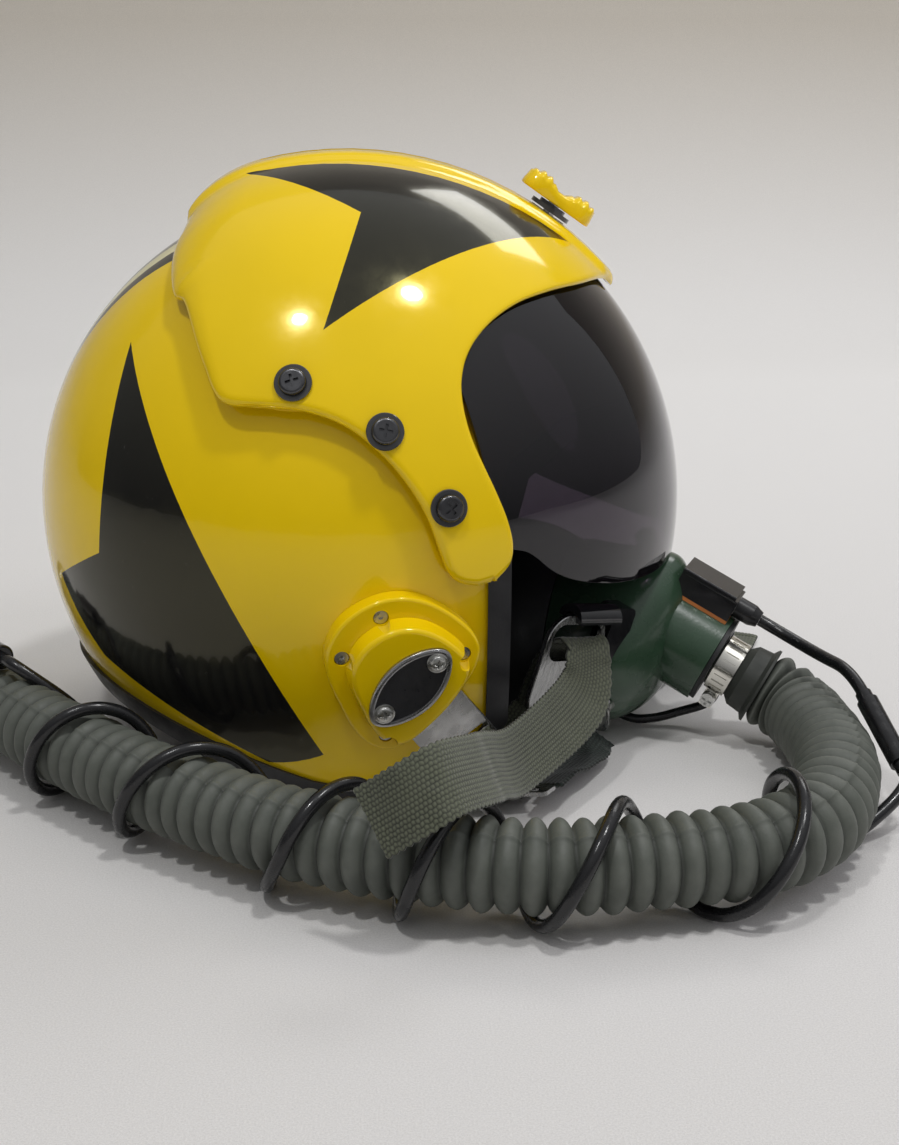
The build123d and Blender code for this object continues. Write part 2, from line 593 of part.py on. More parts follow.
lobe_offset = (KNOB_LENGTH - KNOB_WIDTH) / 2
with BuildPart() as visor_knob:
    with BuildSketch(stud_plane.offset(ridge_top + KNOB_LIFT)):
        with Locations((-lobe_offset, 0), (lobe_offset, 0)):
            Circle(KNOB_WIDTH / 2)
        Rectangle(KNOB_LENGTH - KNOB_WIDTH, KNOB_WAIST)
    extrude(amount=KNOB_THICKNESS)
    top_face = faces().sort_by(Axis(stud_plane.origin, stud_plane.z_dir))[-1]
    fillet(top_face.edges(), KNOB_THICKNESS / 3)
    with BuildSketch(stud_plane.offset(ridge_top + KNOB_LIFT + KNOB_THICKNESS)):
        for end in (-1, 1):
            with Locations((end * (lobe_offset + KNOB_RIB_WIDTH), 0)):
                with GridLocations(2 * KNOB_RIB_WIDTH, 0, 3, 1):
                    SlotOverall(KNOB_WIDTH / 2, KNOB_RIB_WIDTH, rotation=90)
    extrude(amount=-KNOB_RIB_WIDTH / 2, mode=Mode.SUBTRACT)
    with BuildSketch(stud_plane.offset(ridge_top + KNOB_LIFT)):
        Circle(STUD_RADIUS + STUD_CLEARANCE)
    extrude(amount=KNOB_THICKNESS / 2 + FIT_GAP, mode=Mode.SUBTRACT)
save(visor_knob.part, "visor_knob")

# Energy liner: a thick foam bowl inside the upper shell
with BuildPart() as energy_liner:
    add(revolved_form(SHELL_RADIUS - SHELL_WALL - FIT_GAP * 2, SHELL_HALF_WIDTH - SHELL_WALL - FIT_GAP * 2))
    add(revolved_form(SHELL_RADIUS - SHELL_WALL - LINER_THICKNESS,
                      SHELL_HALF_WIDTH - SHELL_WALL - LINER_THICKNESS), mode=Mode.SUBTRACT)
    add(side_block(SHELL_OUTLINE_SHARES, SHELL_RADIUS, -LINER_MARGIN), mode=Mode.INTERSECT)
    split(bisect_by=HEAD, keep=Keep.TOP)
    for plane in screw_planes:
        with BuildSketch(plane):
            Circle(SPACER_RADIUS)
        extrude(amount=-(depth_to_shell(plane) + SHELL_WALL + SCREW_HEAD_HEIGHT), mode=Mode.SUBTRACT)
save(energy_liner.part, "energy_liner")

# Fitting pads: leather-covered foam strips under the liner
pad_outer = SHELL_WALL + LINER_THICKNESS + FIT_GAP
with BuildPart() as fitting_pads:
    add(revolved_form(SHELL_RADIUS - pad_outer, SHELL_HALF_WIDTH - pad_outer))
    add(revolved_form(SHELL_RADIUS - pad_outer - PAD_THICKNESS,
                      SHELL_HALF_WIDTH - pad_outer - PAD_THICKNESS), mode=Mode.SUBTRACT)
    with BuildSketch(FRONT.offset(-SHELL_RADIUS)):
        Rectangle(PAD_WIDTH, 2 * SHELL_RADIUS)
        for side in (-1, 1):
            with Locations((side * PAD_WIDTH * 3 / 2, 0)):
                Rectangle(PAD_WIDTH * 2 / 3, 2 * SHELL_RADIUS)
    extrude(amount=2 * SHELL_RADIUS, mode=Mode.INTERSECT)
    with BuildSketch(SIDE):
        for angle in (58, 122):
            with Locations(Location((0, 0, 0), (0, 0, angle))):
                with Locations((SHELL_RADIUS / 2, 0)):
                    Rectangle(SHELL_RADIUS * 3 / 2, PAD_THICKNESS)
    extrude(amount=SHELL_RADIUS, both=True, mode=Mode.SUBTRACT)
    add(side_block(SHELL_OUTLINE_SHARES, SHELL_RADIUS, -LINER_MARGIN - PAD_THICKNESS), mode=Mode.INTERSECT)
    split(bisect_by=HEAD.offset(PAD_THICKNESS), keep=Keep.TOP)
save(fitting_pads.part, "fitting_pads")

# Nape pad: a cushion across the back of the neck
with BuildPart() as nape_pad:
    add(head_form(SHELL_WALL + FIT_GAP))
    add(head_form(SHELL_WALL + LINER_THICKNESS), mode=Mode.SUBTRACT)
    with BuildSketch(FRONT.offset(-SHELL_RADIUS)):
        with Locations((0, -NAPE_PAD_DROP)):
            RectangleRounded(NAPE_PAD_WIDTH, NAPE_PAD_HEIGHT, NAPE_PAD_HEIGHT / 4)
    extrude(amount=SHELL_RADIUS, mode=Mode.INTERSECT)
save(nape_pad.part, "nape_pad")

# Ear cups, their seals, earphones and the foam spacers behind them
def ear_plane(distance):
    return Plane(origin=at_head(EARCUP_FORWARD, -distance, -EARCUP_DROP), x_dir=(1, 0, 0), z_dir=(0, -1, 0))


with BuildPart() as earcup_right:
    with BuildSketch(ear_plane(EARCUP_INNER_PLANE)):
        Ellipse(EARCUP_HALF_HEIGHT, EARCUP_HALF_LENGTH, rotation=90)
    extrude(amount=EARCUP_DEPTH)
    back_face = faces().sort_by(Axis.Y)[0]
    fillet(back_face.edges(), EARCUP_DEPTH / 4)
    with BuildSketch(ear_plane(EARCUP_INNER_PLANE)):
        Ellipse(EARCUP_HALF_HEIGHT - EARCUP_WALL, EARCUP_HALF_LENGTH - EARCUP_WALL, rotation=90)
    extrude(amount=EARCUP_DEPTH - EARCUP_DEPTH / 4, mode=Mode.SUBTRACT)
save(earcup_right.part, "earcup_right")
with BuildPart() as earcup_left:
    mirror(earcup_right.part, about=Plane.XZ)
save(earcup_left.part, "earcup_left")

with BuildPart() as ear_seals:
    with BuildSketch(ear_plane(EARCUP_INNER_PLANE - SEAL_THICKNESS)):
        Ellipse(EARCUP_HALF_HEIGHT, EARCUP_HALF_LENGTH, rotation=90)
        Ellipse(EARCUP_HALF_HEIGHT - SEAL_WIDTH, EARCUP_HALF_LENGTH - SEAL_WIDTH, rotation=90,
                mode=Mode.SUBTRACT)
    extrude(amount=SEAL_THICKNESS - FIT_GAP)
    fillet(edges().group_by(Axis.Y)[-1], SEAL_THICKNESS / 3)
    mirror(about=Plane.XZ)
save(ear_seals.part, "ear_seals")

with BuildPart() as earphones:
    with BuildSketch(ear_plane(EARCUP_INNER_PLANE + EARCUP_DEPTH * 3 / 4 - FIT_GAP)):
        Circle(EARPHONE_RADIUS)
    extrude(amount=-EARPHONE_DEPTH)
    fillet(edges().group_by(Axis.Y)[-1], EARPHONE_DEPTH / 4)
    mirror(about=Plane.XZ)
save(earphones.part, "earphones")

with BuildPart() as earcup_spacers:
    with BuildSketch(ear_plane(EARCUP_INNER_PLANE + EARCUP_DEPTH + FIT_GAP)):
        Circle(EARCUP_SPACER_RADIUS)
    extrude(amount=SHELL_HALF_WIDTH / 2)
    add(head_form(SHELL_WALL + FIT_GAP), mode=Mode.INTERSECT)
    mirror(about=Plane.XZ)
save(earcup_spacers.part, "earcup_spacers")

# Cheek pads: leather cushions that stand forward of the rim beside the face
with BuildPart() as cheek_pads:
    with BuildSketch(SIDE.offset(CHEEK_INNER_PLANE)):
        with Locations((CHEEK_FORWARD, -CHEEK_DROP)):
            RectangleRounded(CHEEK_LENGTH, CHEEK_HEIGHT, CHEEK_LENGTH / 3)
    extrude(amount=CHEEK_THICKNESS)
    fillet(edges(), CHEEK_THICKNESS / 6)
    mirror(about=Plane.XZ)
save(cheek_pads.part, "cheek_pads")

# Strap receivers on the sides of the shell, where the mask is hooked on

length_at = math.sqrt(SHELL_RADIUS**2 - RECEIVER_DROP**2)
width_at = SHELL_HALF_WIDTH * math.sqrt(1 - (RECEIVER_DROP / SHELL_TUCK)**2)
receiver_across = width_at * math.sqrt(1 - (RECEIVER_FORWARD / length_at)**2)
toe = math.radians(RECEIVER_TOE)
tuck = math.radians(RECEIVER_TUCK)
RECEIVER = Plane(
    origin=at_head(RECEIVER_FORWARD, -receiver_across, -RECEIVER_DROP),
    x_dir=(math.cos(toe), math.sin(toe), 0),
    z_dir=(math.sin(toe) * math.cos(tuck), -math.cos(toe) * math.cos(tuck), -math.sin(tuck)))


with BuildPart() as receiver_base_right:
    with BuildSketch(RECEIVER.offset(RECEIVER_BASE_THICKNESS)):
        with BuildLine():
            Spline(*scaled(RECEIVER_OUTLINE_SHARES, RECEIVER_SIZE), periodic=True)
        make_face()
    extrude(amount=-4 * RECEIVER_BASE_THICKNESS)
    add(head_form(-FIT_GAP / 2), mode=Mode.SUBTRACT)
    front_edges = faces().sort_by(Axis(RECEIVER.origin, RECEIVER.z_dir))[-1].edges()
    fillet(front_edges, RECEIVER_BASE_THICKNESS / 4)
    with BuildSketch(RECEIVER.offset(RECEIVER_BASE_THICKNESS)):
        with Locations(*scaled(RECEIVER_SCREW_SHARES, RECEIVER_SIZE)):
            Circle(RECEIVER_HEAD_RADIUS + FIT_GAP)
    extrude(amount=-RECEIVER_BASE_THICKNESS / 2, mode=Mode.SUBTRACT)
    with BuildSketch(RECEIVER.offset(RECEIVER_BASE_THICKNESS)):
        with Locations(*scaled(RECEIVER_SCREW_SHARES, RECEIVER_SIZE)):
            Circle(RECEIVER_SCREW_RADIUS + SCREW_CLEARANCE)
    extrude(amount=-6 * RECEIVER_BASE_THICKNESS, mode=Mode.SUBTRACT)

cover_shift = RECEIVER_SIZE * (1 - RECEIVER_COVER_SHARE) / 4
with BuildPart() as receiver_cover_right:
    with BuildSketch(RECEIVER.offset(RECEIVER_BASE_THICKNESS + FIT_GAP / 3)):
        with BuildLine():
            Spline(*[(x * RECEIVER_COVER_SHARE + cover_shift, y * RECEIVER_COVER_SHARE - cover_shift)
                     for x, y in scaled(RECEIVER_OUTLINE_SHARES, RECEIVER_SIZE)], periodic=True)
        make_face()
    extrude(amount=RECEIVER_COVER_THICKNESS, taper=10)
    cover_top = faces().sort_by(Axis(RECEIVER.origin, RECEIVER.z_dir))[-1]
    fillet(cover_top.edges(), RECEIVER_COVER_THICKNESS / 4)
    with BuildSketch(RECEIVER.offset(TONGUE_LEVEL - FIT_GAP)):
        with Locations(Location((0, 0, 0), (0, 0, TONGUE_ANGLE))):
            with Locations((TONGUE_START + TONGUE_LENGTH / 2 - FIT_GAP, 0)):
                Rectangle(TONGUE_LENGTH, TONGUE_WIDTH + 2 * FIT_GAP)
    extrude(amount=TONGUE_THICKNESS + 2 * FIT_GAP, mode=Mode.SUBTRACT)
    with BuildSketch(RECEIVER.offset(RECEIVER_BASE_THICKNESS)):
        with Locations(*scaled(RECEIVER_SCREW_SHARES, RECEIVER_SIZE)):
            Circle(RECEIVER_HEAD_RADIUS + 2 * FIT_GAP)
    extrude(amount=2 * RECEIVER_COVER_THICKNESS, mode=Mode.SUBTRACT)

with BuildPart() as receiver_screws:
    with BuildSketch(RECEIVER.offset(RECEIVER_BASE_THICKNESS / 2 + FIT_GAP / 2)):
        with Locations(*scaled(RECEIVER_SCREW_SHARES, RECEIVER_SIZE)):
            Circle(RECEIVER_HEAD_RADIUS)
    extrude(amount=RECEIVER_BASE_THICKNESS / 3)
    with BuildSketch(RECEIVER.offset(RECEIVER_BASE_THICKNESS / 2 + FIT_GAP)):
        with Locations(*scaled(RECEIVER_SCREW_SHARES, RECEIVER_SIZE)):
            Circle(RECEIVER_SCREW_RADIUS)
    extrude(amount=-RECEIVER_BASE_THICKNESS)
    with BuildSketch(RECEIVER.offset(RECEIVER_BASE_THICKNESS)):
        with Locations(*scaled(RECEIVER_SCREW_SHARES, RECEIVER_SIZE)):
            Circle(RECEIVER_SCREW_RADIUS * 2 / 3)
    extrude(amount=-RECEIVER_BASE_THICKNESS / 3, mode=Mode.SUBTRACT)
    add(head_form(-FIT_GAP / 2), mode=Mode.SUBTRACT)
    mirror(about=Plane.XZ)
save(receiver_screws.part, "receiver_screws")

with BuildPart() as receiver_tongue_right:
    with BuildSketch(RECEIVER.offset(TONGUE_LEVEL)):
        with Locations(Location((0, 0, 0), (0, 0, TONGUE_ANGLE))):
            with Locations((TONGUE_START + TONGUE_LENGTH / 2, 0)):
                RectangleRounded(TONGUE_LENGTH, TONGUE_WIDTH, TONGUE_THICKNESS)
            with Locations((TONGUE_START + TONGUE_LENGTH - 2 * TONGUE_SLOT_HEIGHT, 0)):
                Rectangle(TONGUE_SLOT_HEIGHT * 3 / 2, TONGUE_WIDTH - TONGUE_THICKNESS * 3 / 2,
                          mode=Mode.SUBTRACT)
    extrude(amount=TONGUE_THICKNESS)
    chamfer(faces().sort_by(Axis(RECEIVER.origin, RECEIVER.z_dir))[-1].outer_wire().edges(), FIT_GAP)

for name, right in (("receiver_base", receiver_base_right), ("receiver_cover", receiver_cover_right),
                    ("receiver_tongue", receiver_tongue_right)):
    save(right.part, f"{name}_right")
    with BuildPart() as left:
        mirror(right.part, about=Plane.XZ)
    save(left.part, f"{name}_left")

# Marquise plate on the right receiver only, with a screw at each end
badge_plane = RECEIVER.offset(RECEIVER_BASE_THICKNESS + FIT_GAP / 3 + RECEIVER_COVER_THICKNESS)
badge_turn = Location((cover_shift / 2, -cover_shift / 2, 0), (0, 0, BADGE_TILT))
with BuildPart() as badge_plate:
    with BuildSketch(badge_plane.offset(FIT_GAP / 3)):
        with Locations(badge_turn):
            SlotOverall(BADGE_LENGTH, BADGE_WIDTH)
    extrude(amount=BADGE_THICKNESS)
    with BuildSketch(badge_plane.offset(BADGE_THICKNESS)):
        with Locations(badge_turn):
            SlotOverall(BADGE_LENGTH - 6 * BADGE_RIM, BADGE_WIDTH - 2 * BADGE_RIM)
    extrude(amount=BADGE_THICKNESS / 2, mode=Mode.SUBTRACT)
    with BuildSketch(badge_plane):
        with Locations(badge_turn):
            with Locations((-BADGE_LENGTH / 2 + 2 * BADGE_RIM, 0), (BADGE_LENGTH / 2 - 2 * BADGE_RIM, 0)):
                Circle(BADGE_SCREW_RADIUS / 2 + SCREW_CLEARANCE)
    extrude(amount=2 * BADGE_THICKNESS, mode=Mode.SUBTRACT)
save(badge_plate.part, "badge_plate")

with BuildPart() as badge_screws:
    with BuildSketch(badge_plane.offset(BADGE_THICKNESS + FIT_GAP / 2)):
        with Locations(badge_turn):
            with Locations((-BADGE_LENGTH / 2 + 2 * BADGE_RIM, 0), (BADGE_LENGTH / 2 - 2 * BADGE_RIM, 0)):
                Circle(BADGE_SCREW_RADIUS)
    extrude(amount=BADGE_THICKNESS)
    with BuildSketch(badge_plane.offset(BADGE_THICKNESS + FIT_GAP)):
        with Locations(badge_turn):
            with Locations((-BADGE_LENGTH / 2 + 2 * BADGE_RIM, 0), (BADGE_LENGTH / 2 - 2 * BADGE_RIM, 0)):
                Circle(BADGE_SCREW_RADIUS / 2)
    extrude(amount=-BADGE_THICKNESS)
    with BuildSketch(badge_plane.offset(2 * BADGE_THICKNESS + FIT_GAP)):
        with Locations(badge_turn):
            with Locations((-BADGE_LENGTH / 2 + 2 * BADGE_RIM, 0), (BADGE_LENGTH / 2 - 2 * BADGE_RIM, 0)):
                Rectangle(BADGE_SCREW_RADIUS, BADGE_SCREW_RADIUS / 4)
                Rectangle(BADGE_SCREW_RADIUS / 4, BADGE_SCREW_RADIUS)
    extrude(amount=-BADGE_THICKNESS / 2, mode=Mode.SUBTRACT)
save(badge_screws.part, "badge_screws")

# Harness and mask frame. Places are shares of a span of 100 mm, from the centre of the head.
mask_turn = math.radians(MASK_TURN)
mask_ahead = Vector(math.cos(mask_turn), -math.sin(mask_turn), 0)
mask_left = Vector(math.sin(mask_turn), math.cos(mask_turn), 0)
mask_origin = Vector(*at_head(MASK_FORWARD))


def placed(share):
    """A point from its share of the span."""
    return Vector(*at_head(*[part * SPAN for part in share]))


def mask_plane(distance):
    """Plane across the mask, its X to the wearer's left, its Z straight ahead of the mask."""
    return Plane(origin=mask_origin + mask_ahead * distance, x_dir=mask_left, z_dir=mask_ahead)


def strap_form(stations, web_width):
    """Webbing along a smooth line through a row of points, each with the direction of its width."""
    points = [point for point, across in stations]
    widths = [stations[0][1].normalized()]
    reach = [0.0]
    for before, (point, across) in zip(points, stations[1:]):
        reach.append(reach[-1] + (point - before).length)
        widths.append(across.normalized() * (1 if across.dot(widths[-1]) > 0 else -1))
    with BuildLine() as line:
        Spline(*points)
    middle = line.edges()[0]
    steps = round(reach[-1] / WEB_STEP)
    with BuildPart() as strap:
        for step in range(steps + 1):
            place = reach[-1] * step / steps
            index = min(sum(length <= place for length in reach), len(reach) - 1)
            blend = (place - reach[index - 1]) / (reach[index] - reach[index - 1])
            across = widths[index - 1] * (1 - blend) + widths[index] * blend
            along = middle.tangent_at(step / steps)
            width = (across - along * across.dot(along)).normalized()
            with BuildSketch(Plane(origin=middle.position_at(step / steps), x_dir=width, z_dir=along)):
                Rectangle(web_width, WEB_THICKNESS)
        loft(ruled=True)
    return strap.part


def stations_at(shares):
    return [(placed(place), Vector(*across)) for place, across in shares]


# Mask shell, as stations ahead of its origin: station, half width, middle height, half height


def mask_form(shares, inset=0.0):
    """Smooth solid through pear-shaped stations of the mask."""
    with BuildPart() as form:
        for station, half_width, middle, half_height in shares:
            steps = [2 * math.pi * step / SECTION_POINTS for step in range(SECTION_POINTS)]
            width = half_width * MASK_SIZE - inset
            height = half_height * MASK_SIZE - inset
            with BuildSketch(mask_plane(station * MASK_SIZE)):
                with BuildLine():
                    Spline(*[(width * math.cos(t) * (1 - MASK_TAPER * math.sin(t)),
                              middle * MASK_SIZE + height * math.sin(t)) for t in steps], periodic=True)
                make_face()
        loft()
    return form.part


# Breathing port: a tube that points forward and down from the middle of the mask
fall = math.radians(PORT_FALL)
port_axis = mask_ahead * math.cos(fall) + Vector(0, 0, -math.sin(fall))
PORT = Plane(origin=placed(PORT_SHARES), x_dir=mask_left, z_dir=port_axis)


def port_point(across, up, ahead):
    """A point given across, up and along the breathing port."""
    return PORT.origin + PORT.x_dir * across + PORT.y_dir * up + PORT.z_dir * ahead


# The inner form runs on behind the mask so that its back stays open
inner_shares = [(0.20, 0.44, -0.57, 0.39)] + MASK_SHARES[:3]
inner_shares += [(station - MASK_WALL / MASK_SIZE, w, z, h) for station, w, z, h in MASK_SHARES[3:]]
with BuildPart() as mask_shell:
    add(mask_form(MASK_SHARES))
    with BuildSketch(PORT):
        Circle(PORT_RADIUS)
    extrude(amount=-PORT_DEPTH)
    add(mask_form(inner_shares, MASK_WALL), mode=Mode.SUBTRACT)
    with BuildSketch(PORT.offset(-PORT_WALL)):
        Circle(PORT_RADIUS - PORT_WALL)
    extrude(amount=-2 * PORT_DEPTH, mode=Mode.SUBTRACT)
    with BuildSketch(PORT):
        Circle(SPIGOT_RADIUS)
    extrude(amount=SPIGOT_LENGTH)
    with BuildSketch(PORT.offset(SPIGOT_LENGTH)):
        Circle(SPIGOT_BORE)
    extrude(amount=-2 * SPIGOT_LENGTH, mode=Mode.SUBTRACT)
save(mask_shell.part, "mask_shell")

with BuildPart() as mask_faceform:
    add(mask_form(FACEFORM_FLANGE_SHARES))
    add(mask_form(FACEFORM_CUP_SHARES))
    add(mask_form([(-0.16, 0.42, -0.52, 0.38), (0.05, 0.48, -0.54, 0.425), (0.25, 0.445, -0.565, 0.395)],
                  FACEFORM_WALL), mode=Mode.SUBTRACT)
    add(mask_form([(-0.20, 0.36, -0.52, 0.32), (0.10, 0.40, -0.55, 0.35)] + FACEFORM_CUP_SHARES[1:],
                  FACEFORM_WALL), mode=Mode.SUBTRACT)
save(mask_faceform.part, "mask_faceform")

# Combination valve in the port: a fixed seat and a light disc that lifts off it
seat_back = PORT_WALL + FIT_GAP + VALVE_SEAT_DEPTH
with BuildPart() as valve_body:
    with BuildSketch(PORT.offset(-PORT_WALL - FIT_GAP)):
        Circle(PORT_RADIUS - PORT_WALL - FIT_GAP)
        Circle(VALVE_SEAT_BORE, mode=Mode.SUBTRACT)
        Rectangle(2 * VALVE_SEAT_BORE, VALVE_STEM_RADIUS)
        Rectangle(VALVE_STEM_RADIUS, 2 * VALVE_SEAT_BORE)
        Circle(VALVE_HUB_RADIUS)
        Circle(VALVE_STEM_RADIUS + FIT_GAP, mode=Mode.SUBTRACT)
    extrude(amount=-VALVE_SEAT_DEPTH)
save(valve_body.part, "valve_body")

with BuildPart() as valve_disc:
    with BuildSketch(PORT.offset(-seat_back - FIT_GAP)):
        Circle(VALVE_DISC_RADIUS)
    extrude(amount=-VALVE_DISC_THICKNESS)
    with BuildSketch(PORT.offset(-seat_back - 2 * FIT_GAP)):
        Circle(VALVE_STEM_RADIUS)
    extrude(amount=VALVE_SEAT_DEPTH)
save(valve_disc.part, "valve_disc")

# Microphone on a stem inside the faceform
with BuildPart() as mic:
    with BuildSketch(mask_plane(MIC_PLACE_SHARES[0] * MASK_SIZE)):
        with Locations((0, MIC_PLACE_SHARES[1] * MASK_SIZE)):
            RectangleRounded(MIC_LENGTH, MIC_HEIGHT, MIC_HEIGHT / 3)
    extrude(amount=MIC_DEPTH)
    chamfer(edges().filter_by(Axis.Z, reverse=True).group_by(SortBy.LENGTH)[-1], FIT_GAP)
    mic_stem = Plane(origin=mask_origin + mask_ahead * (MIC_PLACE_SHARES[0] * MASK_SIZE + MIC_DEPTH / 2)
                     + Vector(0, 0, MIC_STEM_FOOT_SHARE * MASK_SIZE), z_dir=(0, 0, 1))
    with BuildSketch(mic_stem):
        Circle(MIC_STEM_RADIUS)
    extrude(amount=(MIC_PLACE_SHARES[1] - MIC_STEM_FOOT_SHARE) * MASK_SIZE)
save(mic.part, "mic")

# Microphone connector on top of the port, its coloured stripe and the boot of the cord
saddle = PORT_RADIUS + STRIPE_THICKNESS + FIT_GAP
with BuildPart() as mic_connector:
    with BuildSketch(PORT.offset(-CONNECTOR_START)):
        with Locations((0, CONNECTOR_TOP / 2)):
            RectangleRounded(CONNECTOR_WIDTH, CONNECTOR_TOP, CONNECTOR_WIDTH / 8)
        Circle(saddle + FIT_GAP / 2, mode=Mode.SUBTRACT)
    extrude(amount=CONNECTOR_LENGTH)
    with BuildSketch(PORT.offset(-CONNECTOR_START)):
        with Locations((0, CONNECTOR_TOP)):
            Rectangle(CONNECTOR_WIDTH * 2, STRIPE_THICKNESS * 2)
    extrude(amount=CONNECTOR_LENGTH, mode=Mode.SUBTRACT)
    with BuildSketch(PORT.offset(-CONNECTOR_START)):
        with Locations((0, CONNECTOR_TOP - STRIPE_THICKNESS / 2)):
            RectangleRounded(CONNECTOR_WIDTH + STRIPE_THICKNESS, STRIPE_THICKNESS * 2, STRIPE_THICKNESS / 2)
    extrude(amount=CONNECTOR_LENGTH - STRIPE_THICKNESS)
    add(mask_form(MASK_SHARES, -FIT_GAP / 2), mode=Mode.SUBTRACT)
save(mic_connector.part, "mic_connector")

with BuildPart() as connector_stripe:
    with BuildSketch(PORT.offset(-CONNECTOR_START)):
        Circle(saddle)
        Circle(PORT_RADIUS + FIT_GAP / 2, mode=Mode.SUBTRACT)
        with Locations((0, CONNECTOR_TOP / 2)):
            Rectangle(CONNECTOR_WIDTH, CONNECTOR_TOP, mode=Mode.INTERSECT)
    extrude(amount=CONNECTOR_LENGTH)
    add(mask_form(MASK_SHARES, -FIT_GAP / 2), mode=Mode.SUBTRACT)
save(connector_stripe.part, "connector_stripe")

boot_start = CONNECTOR_LENGTH - CONNECTOR_START
with BuildPart() as connector_boot:
    with BuildSketch(PORT.offset(boot_start + FIT_GAP / 3)):
        with Locations((0, BOOT_HEIGHT)):
            Circle(BOOT_RADIUS)
    extrude(amount=BOOT_LENGTH * 2 / 3)
    with BuildSketch(PORT.offset(boot_start + BOOT_LENGTH * 2 / 3 + FIT_GAP / 3)):
        with Locations((0, BOOT_HEIGHT)):
            Circle(BOOT_RADIUS)
    with BuildSketch(PORT.offset(boot_start + BOOT_LENGTH)):
        with Locations((0, BOOT_HEIGHT)):
            Circle(BOOT_NECK_RADIUS)
    loft()
save(connector_boot.part, "connector_boot")

# Gasket, cuff and worm clamp on the spigot
with BuildPart() as port_gasket:
    with BuildSketch(PORT.offset(FIT_GAP / 2)):
        Circle(GASKET_RADIUS)
        Circle(CUFF_INNER_RADIUS, mode=Mode.SUBTRACT)
    extrude(amount=GASKET_THICKNESS - FIT_GAP / 2)
save(port_gasket.part, "port_gasket")

cuff_profile_plane = Plane(origin=PORT.origin, x_dir=PORT.x_dir, z_dir=PORT.y_dir * -1)
with BuildPart() as hose_cuff:
    with BuildSketch(cuff_profile_plane):
        with BuildLine():
            Polyline(*[(CUFF_INNER_RADIUS + out, CUFF_START + ahead) for out, ahead in CUFF_SHARES], close=True)
        make_face()
    revolve(axis=Axis(PORT.origin, PORT.z_dir))
save(hose_cuff.part, "hose_cuff")

clamp_middle = CLAMP_START + CLAMP_WIDTH / 2
screw_down = CLAMP_RADIUS + CLAMP_THICKNESS + CLAMP_SCREW_RADIUS + CLAMP_THICKNESS
CLAMP_SCREW = Plane(origin=port_point(0, -screw_down, clamp_middle), x_dir=PORT.z_dir, z_dir=PORT.x_dir * -1)
with BuildPart() as hose_clamp:
    with BuildSketch(PORT.offset(CLAMP_START)):
        Circle(CLAMP_RADIUS + CLAMP_THICKNESS)
    extrude(amount=CLAMP_WIDTH)
    with BuildSketch(CLAMP_SCREW.offset(-HOUSING_BOX / 2)):
        RectangleRounded(CLAMP_WIDTH * 2 / 3, 2 * CLAMP_SCREW_RADIUS + 4 * CLAMP_THICKNESS, CLAMP_THICKNESS)
    extrude(amount=HOUSING_BOX)
    with BuildSketch(CLAMP_SCREW.offset(-HOUSING_BOX)):
        Circle(CLAMP_SCREW_RADIUS + FIT_GAP / 3)
    extrude(amount=2 * HOUSING_BOX, mode=Mode.SUBTRACT)
    with BuildSketch(PORT.offset(CLAMP_START - CLAMP_WIDTH)):
        Circle(CLAMP_RADIUS)
    extrude(amount=3 * CLAMP_WIDTH, mode=Mode.SUBTRACT)
    with BuildSketch(PORT.offset(clamp_middle - CLAMP_WIDTH / 3)):
        with PolarLocations(CLAMP_RADIUS + CLAMP_THICKNESS, CLAMP_SLOTS, start_angle=-50, angular_range=280):
            Rectangle(CLAMP_THICKNESS, CLAMP_THICKNESS)
    extrude(amount=CLAMP_WIDTH * 2 / 3, mode=Mode.SUBTRACT)
save(hose_clamp.part, "hose_clamp")

with BuildPart() as clamp_screw:
    with BuildSketch(CLAMP_SCREW.offset(-HOUSING_BOX / 2)):
        Circle(CLAMP_SCREW_RADIUS)
    extrude(amount=HOUSING_BOX + FIT_GAP)
    with BuildSketch(CLAMP_SCREW.offset(HOUSING_BOX / 2 + FIT_GAP)):
        Circle(CLAMP_HEAD_RADIUS)
    extrude(amount=CLAMP_HEAD_RADIUS)
    with BuildSketch(CLAMP_SCREW.offset(HOUSING_BOX / 2 + FIT_GAP + CLAMP_HEAD_RADIUS)):
        Rectangle(CLAMP_HEAD_RADIUS * 3 / 2, CLAMP_THICKNESS)
        Rectangle(CLAMP_THICKNESS, CLAMP_HEAD_RADIUS * 3 / 2)
    extrude(amount=-CLAMP_THICKNESS, mode=Mode.SUBTRACT)
save(clamp_screw.part, "clamp_screw")

# Buckles, the hooks that hold them, and the lower arms, mirrored across the middle of the mask


def mirrored(vector):
    """A direction on the other side of the mask."""
    return vector - mask_left * (2 * vector.dot(mask_left))


def buckle_plane(side):
    origin = placed(BUCKLE_SHARES) - mask_origin
    out = BUCKLE_ACROSS.cross(BUCKLE_UP).normalized()
    if side < 0:
        return Plane(origin=mask_origin + origin, x_dir=BUCKLE_ACROSS, z_dir=out)
    return Plane(origin=mask_origin + mirrored(origin), x_dir=mirrored(BUCKLE_ACROSS) * -1, z_dir=mirrored(out))


def buckle_point(side, across, up, out):
    plane = buckle_plane(side)
    return plane.origin + plane.x_dir * (-across * side) + plane.y_dir * up + plane.z_dir * out


slot_middle = BUCKLE_HEIGHT / 2 - BUCKLE_BAR - BUCKLE_SLOT_HEIGHT / 2
mask_block = mask_form(MASK_SHARES, -FIT_GAP / 2)


